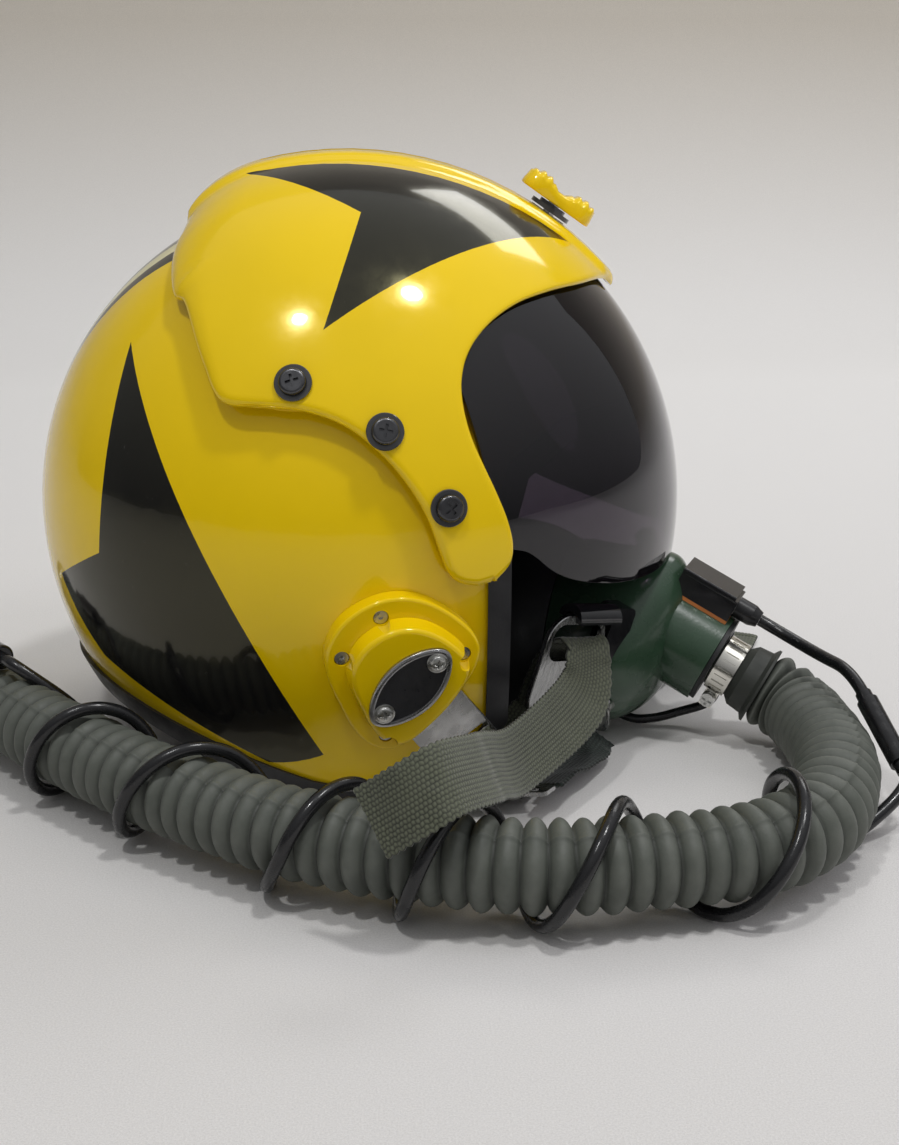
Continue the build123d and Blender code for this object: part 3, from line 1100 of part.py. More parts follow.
def buckle_form(side):
    """Metal loop plate with one long slot for the webbing."""
    frame = buckle_plane(side)
    with BuildPart() as buckle:
        with BuildSketch(frame.offset(-BUCKLE_THICKNESS / 2)):
            RectangleRounded(BUCKLE_WIDTH, BUCKLE_HEIGHT, BUCKLE_WIDTH / 3)
            with Locations((0, slot_middle)):
                RectangleRounded(BUCKLE_SLOT_WIDTH, BUCKLE_SLOT_HEIGHT, BUCKLE_SLOT_HEIGHT / 3,
                                 mode=Mode.SUBTRACT)
        extrude(amount=BUCKLE_THICKNESS)
        chamfer(faces().sort_by(Axis(frame.origin, frame.z_dir))[-1].outer_wire().edges(), FIT_GAP)
    return buckle.part


for side, name in ((-1, "mask_buckle_right"), (1, "mask_buckle_left")):
    with BuildPart() as mask_buckle:
        add(buckle_form(side))
    save(mask_buckle.part, name)

# Black hooks: a rounded claw over the bar of the buckle, with a block that is fixed to the mask
claw_up = BUCKLE_HEIGHT / 2 - BUCKLE_BAR / 2
claw_radius = HOOK_CLEARANCE + HOOK_THICKNESS
with BuildPart() as mask_hooks:
    for side in (-1, 1):
        frame = buckle_plane(side)
        claw = Plane(origin=buckle_point(side, -HOOK_WIDTH / 3, claw_up, 0), x_dir=frame.z_dir,
                     z_dir=frame.x_dir * -side)
        with BuildSketch(claw):
            Circle(claw_radius)
            Circle(HOOK_CLEARANCE, mode=Mode.SUBTRACT)
            with Locations((0, -side * claw_radius)):
                Rectangle(3 * claw_radius, 2 * claw_radius, mode=Mode.SUBTRACT)
        extrude(amount=HOOK_BLOCK_START + HOOK_WIDTH / 3 + FIT_GAP)
        with BuildSketch(frame.offset(-HOOK_BLOCK_DEPTH * 4 / 5)):
            with Locations((-side * (HOOK_BLOCK_START + HOOK_BLOCK_END) / 2,
                            (HOOK_BLOCK_TOP + HOOK_BLOCK_BOTTOM) / 2)):
                RectangleRounded(HOOK_BLOCK_END - HOOK_BLOCK_START, HOOK_BLOCK_TOP - HOOK_BLOCK_BOTTOM,
                                 HOOK_BLOCK_DEPTH / 3)
        extrude(amount=HOOK_BLOCK_DEPTH)
    add(mask_block, mode=Mode.SUBTRACT)
save(mask_hooks.part, "mask_hooks")

# Lower arms with their studs, and the dark webbing that hangs from them


def arm_plane(side, across):
    """Plane parallel to the side of the mask, its Z pointing away from it."""
    return Plane(origin=mask_origin + mask_ahead * (ARM_SHARES[0] * MASK_SIZE) + mask_left * (side * across)
                 + Vector(0, 0, ARM_SHARES[1] * MASK_SIZE), x_dir=mask_ahead, z_dir=mask_left * side)


with BuildPart() as lower_arms:
    for side in (-1, 1):
        with BuildSketch(arm_plane(side, ARM_ACROSS)):
            RectangleRounded(ARM_WIDTH, ARM_LENGTH, ARM_WIDTH / 3)
            Circle(ARM_STUD_RADIUS / 2 + FIT_GAP / 2, mode=Mode.SUBTRACT)
        extrude(amount=ARM_THICKNESS)
save(lower_arms.part, "lower_arms")

with BuildPart() as arm_studs:
    for side in (-1, 1):
        with BuildSketch(arm_plane(side, ARM_ACROSS - FIT_GAP)):
            Circle(ARM_STUD_RADIUS)
        extrude(amount=-ARM_ACROSS / 2)
        with BuildSketch(arm_plane(side, ARM_ACROSS - ARM_THICKNESS)):
            Circle(ARM_STUD_RADIUS / 2)
        extrude(amount=2 * ARM_THICKNESS + FIT_GAP * 2)
        with BuildSketch(arm_plane(side, ARM_ACROSS + ARM_THICKNESS + FIT_GAP)):
            Circle(ARM_STUD_HEAD_RADIUS)
        extrude(amount=ARM_THICKNESS)
    add(mask_block, mode=Mode.SUBTRACT)
save(arm_studs.part, "arm_studs")

# Webbing: lead straps from the receivers to the buckles, pulled tails, and the lower straps


def through_tongue(side):
    """Stations from inside the slot of a tongue, out over its bar."""
    angle = math.radians(TONGUE_ANGLE)
    width = RECEIVER.x_dir * -math.sin(angle) + RECEIVER.y_dir * math.cos(angle)
    stations = []
    for reach, level in TONGUE_PASS:
        point = (RECEIVER.origin + RECEIVER.x_dir * (reach * math.cos(angle))
                 + RECEIVER.y_dir * (reach * math.sin(angle)) + RECEIVER.z_dir * level)
        stations.append((Vector(point.X, -side * point.Y, point.Z), Vector(width.X, -side * width.Y, width.Z)))
    return stations


def through_buckle(side, offsets):
    frame = buckle_plane(side)
    return [(buckle_point(side, *place), frame.x_dir * -side) for place in offsets]


def mask_mirror(stations):
    """The same stations on the other side of the mask."""
    return [(mask_origin + mirrored(point - mask_origin), mirrored(across)) for point, across in stations]


strap_stations = {
    "strap_lead_right": through_tongue(-1) + stations_at(LEAD_SHARES) + through_buckle(-1, BUCKLE_PASS),
    "strap_lead_left": through_tongue(1) + stations_at(LEAD_LEFT_SHARES) + through_buckle(1, BUCKLE_PASS),
    "strap_tail_right": through_buckle(-1, BUCKLE_FOLD) + stations_at(TAIL_SHARES),
    "strap_tail_left": through_buckle(1, BUCKLE_FOLD) + stations_at(TAIL_LEFT_SHARES)}
for name, stations in strap_stations.items():
    with BuildPart() as strap:
        add(strap_form(stations, WEB_WIDTH))
    save(strap.part, name)
lower_stations = stations_at(LOWER_SHARES)
for name, stations in (("lower_strap_right", lower_stations), ("lower_strap_left", mask_mirror(lower_stations))):
    with BuildPart() as strap:
        add(strap_form(stations, LOWER_WIDTH))
    save(strap.part, name)

# Metal end tab with a hole on the lower right strap
tab_start, tab_across = lower_stations[-1]
tab_along = (tab_start - lower_stations[-2][0]).normalized()
tab_width = (tab_across - tab_along * tab_across.dot(tab_along)).normalized()
TAB = Plane(origin=tab_start + tab_along * (TAB_LENGTH / 2 + FIT_GAP), x_dir=tab_along,
            z_dir=tab_along.cross(tab_width))
with BuildPart() as strap_tab:
    with BuildSketch(TAB.offset(-TAB_THICKNESS / 2)):
        RectangleRounded(TAB_LENGTH, TAB_WIDTH, TAB_WIDTH / 4)
        with Locations((TAB_LENGTH / 5, 0)):
            Circle(TAB_HOLE_RADIUS, mode=Mode.SUBTRACT)
    extrude(amount=TAB_THICKNESS)
save(strap_tab.part, "strap_tab")

# Corrugated breathing hose along the table, its route as shares of the span


def bend_radii(points, share):
    """Radius at each inner point, from the shorter of its two runs."""
    radii = []
    for before, point, after in zip(points, points[1:], points[2:]):
        turn = math.radians((point - before).get_angle(after - point))
        radii.append(share * min((point - before).length, (after - point).length) / math.tan(turn / 2))
    return radii


hose_points = [port_point(0, 0, CUFF_END + FIT_GAP / 3), port_point(0, 0, CUFF_END + HOSE_STRAIGHT)]
hose_points += [placed(share) for share in HOSE_SHARES]
hose_radii = bend_radii(hose_points, BEND_SHARE)
hose_radii[0] *= TIGHT_BEND_SHARE / BEND_SHARE
print("hose radii", [round(radius, 1) for radius in hose_radii])
with BuildLine() as hose_line:
    FilletPolyline(*hose_points, radius=hose_radii)
hose_wire = hose_line.wires()[0]
print("hose length", round(hose_wire.length, 1))

# Each rib is a ring with sloping flanks: two root circles and two crest circles


def hose_plane(length):
    """Plane across the hose at a length along it, its X always level."""
    ahead = hose_wire.tangent_at(length / hose_wire.length)
    return Plane(origin=hose_wire.position_at(length / hose_wire.length),
                 x_dir=ahead.cross(Vector(0, 0, 1)).normalized(), z_dir=ahead)


rib_pitch = hose_wire.length / HOSE_RIBS
ring_places = [(0.0, HOSE_ROOT_RADIUS)]
for rib in range(HOSE_RIBS):
    radii = (HOSE_ROOT_RADIUS, HOSE_RADIUS, HOSE_RADIUS, HOSE_ROOT_RADIUS)
    ring_places += [((rib + share) * rib_pitch, radius) for share, radius in zip(RIB_SHARES, radii)]
ring_places.append((hose_wire.length, HOSE_ROOT_RADIUS))
with BuildPart() as oxygen_hose:
    for length, radius in ring_places:
        with BuildSketch(hose_plane(length)):
            Circle(radius)
    loft(ruled=True)
    with BuildSketch(hose_plane(0)):
        Circle(HOSE_BORE)
    sweep(path=hose_wire, mode=Mode.SUBTRACT)
save(oxygen_hose.part, "oxygen_hose")

# Bayonet connector at the far end of the hose
hose_end = hose_plane(hose_wire.length).offset(FIT_GAP / 3)
with BuildPart() as hose_connector:
    with BuildSketch(hose_end):
        Circle(CONNECTOR_FERRULE_RADIUS)
    extrude(amount=CONNECTOR_FERRULE_LENGTH)
    with BuildSketch(hose_end.offset(CONNECTOR_FERRULE_LENGTH)):
        Circle(CONNECTOR_RING_RADIUS)
    extrude(amount=CONNECTOR_RING_LENGTH)
    chamfer(edges().filter_by(GeomType.CIRCLE).group_by(SortBy.RADIUS)[-1], CONNECTOR_LUG_SIZE / 4)
    with BuildSketch(hose_end.offset(CONNECTOR_FERRULE_LENGTH + CONNECTOR_RING_LENGTH)):
        Circle(CONNECTOR_NOSE_RADIUS)
    extrude(amount=CONNECTOR_NOSE_LENGTH)
    with BuildSketch(hose_end.offset(CONNECTOR_FERRULE_LENGTH + CONNECTOR_RING_LENGTH
                                     + CONNECTOR_NOSE_LENGTH / 2)):
        with PolarLocations(CONNECTOR_NOSE_RADIUS, CONNECTOR_LUGS):
            Rectangle(CONNECTOR_LUG_SIZE, CONNECTOR_LUG_SIZE)
    extrude(amount=CONNECTOR_LUG_SIZE)
    with BuildSketch(hose_end):
        Circle(CONNECTOR_BORE)
    extrude(amount=2 * CONNECTOR_FERRULE_LENGTH + 2 * CONNECTOR_RING_LENGTH, mode=Mode.SUBTRACT)
save(hose_connector.part, "hose_connector")

# Cord from the boot to the splice sleeve
splice_start, splice_end = [placed(share) for share in SPLICE_SHARES]
splice_along = (splice_end - splice_start).normalized()
cord_points = [port_point(0, BOOT_HEIGHT, boot_start + BOOT_LENGTH + FIT_GAP / 3),
               port_point(0, BOOT_HEIGHT, boot_start + BOOT_LENGTH + CORD_EXIT)]
cord_points += [placed(share) for share in CORD_SHARES]
cord_points += [splice_start - splice_along * CORD_EXIT, splice_start]


def tube_form(points, radius):
    """Round cord along straight runs joined by tangent arcs."""
    radii = bend_radii(points, BEND_SHARE)
    with BuildPart() as tube:
        with BuildLine() as line:
            FilletPolyline(*points, radius=radii)
        wire = line.wires()[0]
        with BuildSketch(Plane(origin=points[0], z_dir=points[1] - points[0])):
            Circle(radius)
        sweep(path=wire)
    section = math.pi * radius**2
    print("cord radii", [round(bend, 1) for bend in radii], "length", round(wire.length, 1),
          "volume", round(tube.part.volume), "section by length", round(section * wire.length))
    return tube.part


with BuildPart() as comm_cord:
    add(tube_form(cord_points, CORD_RADIUS))
save(comm_cord.part, "comm_cord")

with BuildPart() as cord_splice:
    with BuildSketch(Plane(origin=splice_start + splice_along * (FIT_GAP / 3), z_dir=splice_along)):
        Circle(SPLICE_NECK_RADIUS)
    extrude(amount=(splice_end - splice_start).length - FIT_GAP * 2 / 3)
    with BuildSketch(Plane(origin=splice_start + splice_along * SPLICE_RADIUS, z_dir=splice_along)):
        Circle(SPLICE_RADIUS)
    extrude(amount=(splice_end - splice_start).length - 2 * SPLICE_RADIUS)
save(cord_splice.part, "cord_splice")

# Microphone lead: out of the bottom of the mask, behind the port and into the connector
lead_points = [placed(share) for share in LEAD_SHARES_UNDER]
lead_points += [port_point(*place) for place in LEAD_ROUND_PORT]
with BuildPart() as mic_lead:
    add(tube_form(lead_points, LEAD_RADIUS))
    add(mask_block, mode=Mode.SUBTRACT)
save(mic_lead.part, "mic_lead")

# Cord wound round the hose, by turn and length along the hose as shares of the span


def winding_length(turn):
    """Length along the hose at a turn count, between the listed turns."""
    for (before, start), (after, end) in zip(WINDING_SHARES, WINDING_SHARES[1:]):
        if turn <= after:
            break
    return (start + (end - start) * (turn - before) / (after - before)) * SPAN


def winding_point(turn):
    """Place on the winding. It starts beside the hose and passes under it first."""
    share = winding_length(turn) / hose_wire.length
    side = UP.cross(hose_wire.tangent_at(share)).normalized()
    angle = 2 * math.pi * (turn + 0.25)
    return (hose_wire.position_at(share) + UP * (WINDING_RADIUS * math.cos(angle))
            + side * (WINDING_RADIUS * math.sin(angle)))


def winding_tangent(turn):
    small = WINDING_STEP / 50
    return (winding_point(turn + small) - winding_point(turn - small)).normalized()


def biarc_joint(start, start_along, end, end_along):
    """Point and direction where two arcs meet that join a start and an end smoothly."""
    gap = end - start
    both = start_along + end_along
    a = 2 * (1 + start_along.dot(end_along)) - 4
    b = -2 * gap.dot(both)
    c = gap.dot(gap)
    reach = (-b - math.sqrt(b * b - 4 * a * c)) / (2 * a)
    first = start + start_along * reach
    second = end - end_along * reach
    return (first + second) * 0.5, (second - first).normalized()


plug_share = PLUG_START_SHARE * SPAN / hose_wire.length
plug_along = hose_wire.tangent_at(plug_share)
plug_start = hose_wire.position_at(plug_share) + UP * PLUG_HEIGHT
turns = [WINDING_STEP * (step + 1) for step in range(round(WINDING_SHARES[-1][0] / WINDING_STEP))]
nodes = [(splice_end, splice_along)]
nodes += [(winding_point(turn), winding_tangent(turn)) for turn in turns[:-1]]
nodes += [(winding_point(turns[-1] - WINDING_STEP / 100), winding_tangent(turns[-1] - WINDING_STEP / 25))]
nodes += [(plug_start, plug_along)]
with BuildPart() as comm_winding:
    with BuildLine() as winding_line:
        for (start, start_along), (end, end_along) in zip(nodes, nodes[1:]):
            joint, joint_along = biarc_joint(start, start_along, end, end_along)
            TangentArc(start, joint, tangent=start_along)
            TangentArc(joint, end, tangent=joint_along)
    winding_wire = winding_line.wires()[0]
    with BuildSketch(Plane(origin=splice_end, z_dir=splice_along)):
        Circle(CORD_RADIUS)
    sweep(path=winding_wire)
save(comm_winding.part, "comm_winding")
samples = [winding_wire.position_at(step / 400) for step in range(401)]
step_length = winding_wire.length / 400
apart = round(8 * CORD_RADIUS / step_length)
self_gap = min((samples[i] - samples[j]).length for i in range(401) for j in range(i + apart, 401))
hose_samples = [hose_wire.position_at(step / 400) for step in range(401)]
hose_gap = min((s - h).length for s in samples for h in hose_samples)
print("winding length", round(winding_wire.length, 1), "volume", round(comm_winding.part.volume),
      "section by length", round(math.pi * CORD_RADIUS**2 * winding_wire.length),
      "least gap to itself", round(self_gap - 2 * CORD_RADIUS, 2),
      "least gap to the hose", round(hose_gap - CORD_RADIUS - HOSE_RADIUS, 2), "edges", len(winding_wire.edges()))

PLUG = Plane(origin=plug_start + plug_along * (FIT_GAP / 3), z_dir=plug_along)
with BuildPart() as comm_plug:
    with BuildSketch(PLUG):
        Circle(PLUG_RADIUS)
    extrude(amount=PLUG_LENGTH * 2 / 3)
    fillet(edges().filter_by(GeomType.CIRCLE), PLUG_RADIUS / 5)
    with BuildSketch(PLUG.offset(PLUG_LENGTH / 2)):
        Circle(PLUG_TIP_RADIUS)
    extrude(amount=PLUG_LENGTH / 2)
save(comm_plug.part, "comm_plug")
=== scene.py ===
import math
from bisect import bisect_right

import bpy
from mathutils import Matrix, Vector, kdtree, noise


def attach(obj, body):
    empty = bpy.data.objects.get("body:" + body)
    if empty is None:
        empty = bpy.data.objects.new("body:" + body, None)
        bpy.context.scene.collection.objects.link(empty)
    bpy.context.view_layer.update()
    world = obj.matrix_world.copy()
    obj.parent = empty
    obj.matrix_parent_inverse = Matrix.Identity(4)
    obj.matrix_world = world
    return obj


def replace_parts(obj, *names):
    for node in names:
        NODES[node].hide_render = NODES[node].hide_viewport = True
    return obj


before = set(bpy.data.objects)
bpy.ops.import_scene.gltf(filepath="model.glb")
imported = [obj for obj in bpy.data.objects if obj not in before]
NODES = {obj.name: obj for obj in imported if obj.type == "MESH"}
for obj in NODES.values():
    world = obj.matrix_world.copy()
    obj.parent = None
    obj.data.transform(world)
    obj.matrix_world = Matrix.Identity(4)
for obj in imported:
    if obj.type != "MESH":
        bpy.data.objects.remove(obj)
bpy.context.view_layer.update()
SCENE = bpy.context.scene
HEAD = Vector((0.0, 0.0, 0.098))
UP = Vector((0.0, 0.0, 1.0))

# Camera at the place worked out from the photograph; the photo is 1145 px tall and its focal length 1740 px
SENSOR = 36.0
PHOTO_HEIGHT = 1145.0
FOCAL_LENGTH = 1740.0
CAMERA_DOWN = 16.507
CAMERA_RIGHT = 3.336
camera_data = bpy.data.cameras.new("photo_camera")
camera_data.sensor_width = SENSOR
camera_data.lens = SENSOR * FOCAL_LENGTH / PHOTO_HEIGHT
camera = bpy.data.objects.new("photo_camera", camera_data)
SCENE.collection.objects.link(camera)
camera.location = (0.0, -0.7277, 0.2794)
camera.rotation_euler = (math.radians(90.0 - CAMERA_DOWN), 0.0, math.radians(-CAMERA_RIGHT))
SCENE.camera = camera
SCENE.view_settings.view_transform = "Standard"


# ---- materials
class Nodes:
    """Short calls for the nodes that the finishes and the world share."""

    def __init__(self, tree):
        self.tree = tree

    def node(self, kind, **values):
        made = self.tree.nodes.new(kind)
        for key, value in values.items():
            setattr(made, key, value)
        return made

    def link(self, source, target):
        self.tree.links.new(source, target)

    def put(self, socket, value):
        if hasattr(value, "links"):
            self.link(value, socket)
        else:
            socket.default_value = value

    def math(self, operation, a, b=None):
        made = self.node("ShaderNodeMath", operation=operation)
        for socket, value in zip(made.inputs, (a, b)):
            if value is not None:
                self.put(socket, value)
        return made.outputs[0]

    def parts(self, vector):
        made = self.node("ShaderNodeSeparateXYZ")
        self.link(vector, made.inputs[0])
        return made.outputs

    def ranged(self, value, low, high, to_low, to_high, smooth=False):
        made = self.node("ShaderNodeMapRange")
        if smooth:
            made.interpolation_type = "SMOOTHSTEP"
        self.put(made.inputs["Value"], value)
        for key, number in (("From Min", low), ("From Max", high), ("To Min", to_low), ("To Max", to_high)):
            self.put(made.inputs[key], number)
        return made.outputs[0]


class Shade(Nodes):
    """One material on the principled shader."""

    def __init__(self, name):
        self.material = bpy.data.materials.new(name)
        self.material.use_nodes = True
        super().__init__(self.material.node_tree)
        self.bsdf = self.tree.nodes["Principled BSDF"]
        self.place = self.node("ShaderNodeTexCoord").outputs["Object"]

    def set(self, **values):
        for key, value in values.items():
            self.bsdf.inputs[key.replace("_", " ")].default_value = value

    def noise(self, scale, detail=4.0, rough=0.55, stretch=None):
        place = self.place
        if stretch:
            mapping = self.node("ShaderNodeMapping")
            self.link(place, mapping.inputs["Vector"])
            mapping.inputs["Scale"].default_value = stretch
            place = mapping.outputs[0]
        made = self.node("ShaderNodeTexNoise")
        self.link(place, made.inputs["Vector"])
        made.inputs["Scale"].default_value = scale
        made.inputs["Detail"].default_value = detail
        made.inputs["Roughness"].default_value = rough
        return made.outputs["Fac"]

    def mix(self, share, a, b):
        made = self.node("ShaderNodeMix", data_type="RGBA")
        self.put(made.inputs[0], share)
        for socket, value in ((made.inputs[6], a), (made.inputs[7], b)):
            self.put(socket, value if hasattr(value, "links") else (*value, 1.0))
        return made.outputs[2]

    def bump(self, height, distance, strength=1.0, after=None):
        made = self.node("ShaderNodeBump")
        self.put(made.inputs["Height"], height)
        made.inputs["Distance"].default_value = distance
        made.inputs["Strength"].default_value = strength
        if after is not None:
            self.link(after, made.inputs["Normal"])
        return made.outputs[0]

    def colour(self, value):
        self.put(self.bsdf.inputs["Base Color"], value if hasattr(value, "links") else (*value, 1.0))

    def rough(self, value):
        self.put(self.bsdf.inputs["Roughness"], value)

    def normal(self, value):
        self.link(value, self.bsdf.inputs["Normal"])


def tone(colour, factor):
    return tuple(min(1.0, value * factor) for value in colour)


def plain(name, colour, rough, spread=0.12, vary=0.16, scale=45.0, grain=900.0, depth=0.00004, metal=0.0,
          coat=0.0, stretch=None):
    """A moulded, cast or drawn surface: soft colour variation, uneven gloss and a fine grain."""
    shade = Shade(name)
    cloud = shade.noise(scale, 5.0)
    shade.colour(shade.mix(shade.ranged(cloud, 0.3, 0.7, 0.0, 1.0), tone(colour, 1 - vary), tone(colour, 1 + vary)))
    shade.rough(shade.ranged(shade.noise(scale * 3.1, 6.0, stretch=stretch), 0.3, 0.7,
                             max(0.02, rough - spread), min(1.0, rough + spread)))
    shade.normal(shade.bump(shade.noise(grain, 3.0, stretch=stretch), depth))
    shade.set(Metallic=metal)
    if coat:
        shade.set(Coat_Weight=coat, Coat_Roughness=0.05)
    return shade.material


YELLOW = (0.900, 0.612, 0.0008)
BLACK = (0.008, 0.008, 0.009)
# The cream is a painted reflection of ceiling light, used for the middle band of the stripe
CREAM_PAINTED_REFLECTION = (0.80, 0.74, 0.42)
DUST = (0.62, 0.60, 0.55)
# The painted edges waver a little and blend over a fine line; the stripe narrows towards its lower end at the back
EDGE_WANDER = 0.00018
EDGE_BLEND = 0.00007
STRIPE_TAPER = (-0.119, -0.068, 0.40, 1.0)
STRIPE_END = 0.018
# The cream band between the black bands of the stripe is a painted reflection of ceiling light on the black gloss
STRIPE_BANDS = ((0.031, BLACK), (0.022, CREAM_PAINTED_REFLECTION), (0.011, BLACK))


def behind_planes(shade, place, edges, inner):
    """Depth in metres behind the nearest edge of a blade; each edge is a plane through three places, in mm."""
    least = None
    middle = Vector(inner) / 1000
    for a, b, c in edges:
        a, b, c = (Vector(point) / 1000 for point in (a, b, c))
        across = (b - a).cross(c - a).normalized()
        if across.dot(middle - a) < 0:
            across = -across
        dot = shade.node("ShaderNodeVectorMath", operation="DOT_PRODUCT")
        shade.link(place, dot.inputs[0])
        dot.inputs[1].default_value = across
        reach = shade.math("SUBTRACT", dot.outputs["Value"], across.dot(a))
        least = reach if least is None else shade.math("MINIMUM", least, reach)
    return least


def paint(name, blades=(), stripe=False):
    """Glossy yellow, where asked with black blades on both sides and a middle stripe whose cream band is a painted
    reflection of ceiling light, and worn finely.
    """
    shade = Shade(name)
    cloud = shade.ranged(shade.noise(14.0, 4.0), 0.3, 0.7, 0.0, 1.0)
    colour = shade.mix(cloud, tone(YELLOW, 0.95), tone(YELLOW, 1.03))
    if blades:
        offset = shade.node("ShaderNodeVectorMath", operation="SUBTRACT")
        shade.link(shade.place, offset.inputs[0])
        offset.inputs[1].default_value = HEAD
        forward, left, high = shade.parts(offset.outputs[0])
        side = shade.math("ABSOLUTE", left)
        folded = shade.node("ShaderNodeCombineXYZ")
        for socket, value in zip(folded.inputs, (forward, shade.math("MULTIPLY", side, -1.0), high)):
            shade.link(value, socket)
        most = None
        for edges, inner in blades:
            least = behind_planes(shade, folded.outputs[0], edges, inner)
            most = least if most is None else shade.math("MAXIMUM", most, least)
        wander = shade.math("MULTIPLY", shade.math("SUBTRACT", shade.noise(420.0, 2.0), 0.5), EDGE_WANDER)
        edge = shade.ranged(shade.math("ADD", most, wander), -EDGE_BLEND, EDGE_BLEND, 0.0, 1.0)
        colour = shade.mix(edge, colour, BLACK)
        if stripe:
            taper = shade.ranged(forward, *STRIPE_TAPER)
            upper = shade.math("GREATER_THAN", high, STRIPE_END)
            for half, ink in STRIPE_BANDS:
                band = shade.math("LESS_THAN", side, shade.math("MULTIPLY", taper, half))
                colour = shade.mix(shade.math("MULTIPLY", band, upper), colour, ink)
    dust = shade.ranged(shade.noise(620.0, 5.0, 0.7), 0.66, 0.80, 0.0, 0.10)
    shade.colour(shade.mix(dust, colour, DUST))
    shade.rough(shade.ranged(shade.noise(55.0, 8.0, 0.7), 0.35, 0.75, 0.10, 0.24))
    peel = shade.bump(shade.noise(210.0, 2.0), 0.000018)
    rubs = shade.noise(170.0, 3.0, stretch=(1.0, 0.08, 1.0))
    shade.normal(shade.bump(shade.ranged(rubs, 0.60, 0.66, 0.0, 1.0), 0.0000035, after=peel))
    shade.set(Coat_Weight=0.42, Coat_Roughness=0.025, Specular_IOR_Level=0.42,
              Specular_Tint=(1.0, 0.92, 0.45, 1.0))
    return shade.material


# Blades of the right side, which the paint repeats on the left: their edges, and a place inside, in mm
HOUSING_BLADES = [
    ([((-39.2, -16.9, 136.7), (5.7, -23.8, 140.8), (89.3, -20.6, 109.9)),
      ((-39.2, -16.9, 136.7), (-17.6, -42.1, 134.2), (5.5, -61.5, 125.4)),
      ((5.5, -61.5, 125.4), (89.3, -20.6, 109.9), (0.0, 0.0, 0.0))], (14.0, -38.0, 134.6)),
    ([((5.5, -61.5, 125.4), (-1.7, -84.9, 106.7), (-9.0, -100.6, 87.1)),
      ((-9.0, -100.6, 87.1), (35.7, -76.2, 109.1), (89.3, -20.6, 109.9)),
      ((-39.2, -16.9, 136.7), (5.7, -23.8, 140.8), (89.3, -20.6, 109.9)),
      ((5.5, -61.5, 125.4), (51.8, -24.1, 131.0), (0.0, 0.0, 0.0))], (16.0, -76.0, 112.8))]
SHELL_EDGE = ((-83.2, -57.4, 76.7), (-54.1, -107.2, 3.6), (5.8, -79.8, -95.2))
SHELL_BLADES = [
    ([SHELL_EDGE, ((-83.2, -57.4, 76.7), (-90.0, -71.9, 49.3), (-97.0, -78.2, -1.2)),
      ((-97.0, -78.2, -1.2), (-27.7, -108.9, -41.3), (0.0, 0.0, 0.0))], (-74.0, -90.0, 30.0)),
    ([SHELL_EDGE, ((-97.0, -78.2, -1.2), (-116.5, -48.9, -17.6), (0.0, 0.0, 0.0)),
      ((-116.5, -48.9, -17.6), (-105.0, -60.1, -37.4), (-74.5, -79.5, -59.5)),
      ((-88.5, -71.8, -52.2), (-60.5, -85.4, -65.8), (5.8, -79.8, -95.2))], (-72.0, -97.0, -20.0))]
PAINT_SHELL = paint("painted_shell", SHELL_BLADES, stripe=True)
PAINT_HOUSING = paint("painted_housing", HOUSING_BLADES)
PAINT_YELLOW = paint("painted_yellow")

EDGE_RUBBER = plain("edge_rubber", (0.016, 0.016, 0.018), 0.42, grain=500.0, depth=0.00008)
FOAM = plain("dark_foam", (0.030, 0.030, 0.033), 0.85, grain=700.0, depth=0.0004, vary=0.35)
CUP = plain("earcup_plastic", (0.030, 0.030, 0.032), 0.55, depth=0.00006)
PHONE = plain("earphone_plastic", (0.060, 0.060, 0.066), 0.50)
STEEL = plain("screw_steel", (0.56, 0.56, 0.54), 0.30, metal=1.0, stretch=(1.0, 12.0, 1.0), depth=0.00002)
DARK_SCREW = plain("dark_screw", (0.10, 0.10, 0.105), 0.28, metal=1.0, depth=0.00002)
PLATE_STEEL = plain("plate_steel", (0.46, 0.46, 0.46), 0.26, metal=1.0, stretch=(1.0, 9.0, 1.0),
                    depth=0.000015)
BRIGHT_STEEL = plain("bright_steel", (0.74, 0.72, 0.66), 0.20, metal=1.0, spread=0.08, depth=0.00001)
BADGE = plain("badge_metal", (0.42, 0.42, 0.43), 0.30, metal=1.0, depth=0.00002, grain=1500.0)
BADGE_FACE = plain("badge_face", (0.018, 0.018, 0.020), 0.38, scale=160.0, grain=1100.0, depth=0.00005)
ALLOY = plain("connector_metal", (0.30, 0.31, 0.32), 0.32, metal=1.0, depth=0.00002)
GLOSS_BLACK = plain("gloss_black", (0.010, 0.010, 0.012), 0.14, spread=0.07, coat=0.5, depth=0.00002)
BOOT_BLACK = plain("boot_rubber", (0.012, 0.012, 0.013), 0.32, depth=0.00003)
NYLON = plain("spacer_nylon", (0.50, 0.50, 0.47), 0.45)
WASHER = plain("clear_washer", (0.040, 0.040, 0.042), 0.20, spread=0.08, coat=0.4)
VALVE = plain("valve_plastic", (0.46, 0.46, 0.42), 0.45)
ORANGE = plain("orange_stripe", (0.62, 0.21, 0.055), 0.34, depth=0.00003)
GREEN = plain("mask_green", (0.030, 0.066, 0.036), 0.27, spread=0.10, vary=0.20, scale=26.0, grain=650.0,
              depth=0.00005, coat=0.25)
FACE_RUBBER = plain("face_rubber", (0.022, 0.024, 0.024), 0.50, grain=800.0, depth=0.00008)
GASKET = plain("gasket_rubber", (0.012, 0.012, 0.013), 0.50)
CORD_RUBBER = plain("cord_rubber", (0.009, 0.009, 0.010), 0.24, spread=0.10, scale=90.0, grain=1300.0,
                    depth=0.00003)


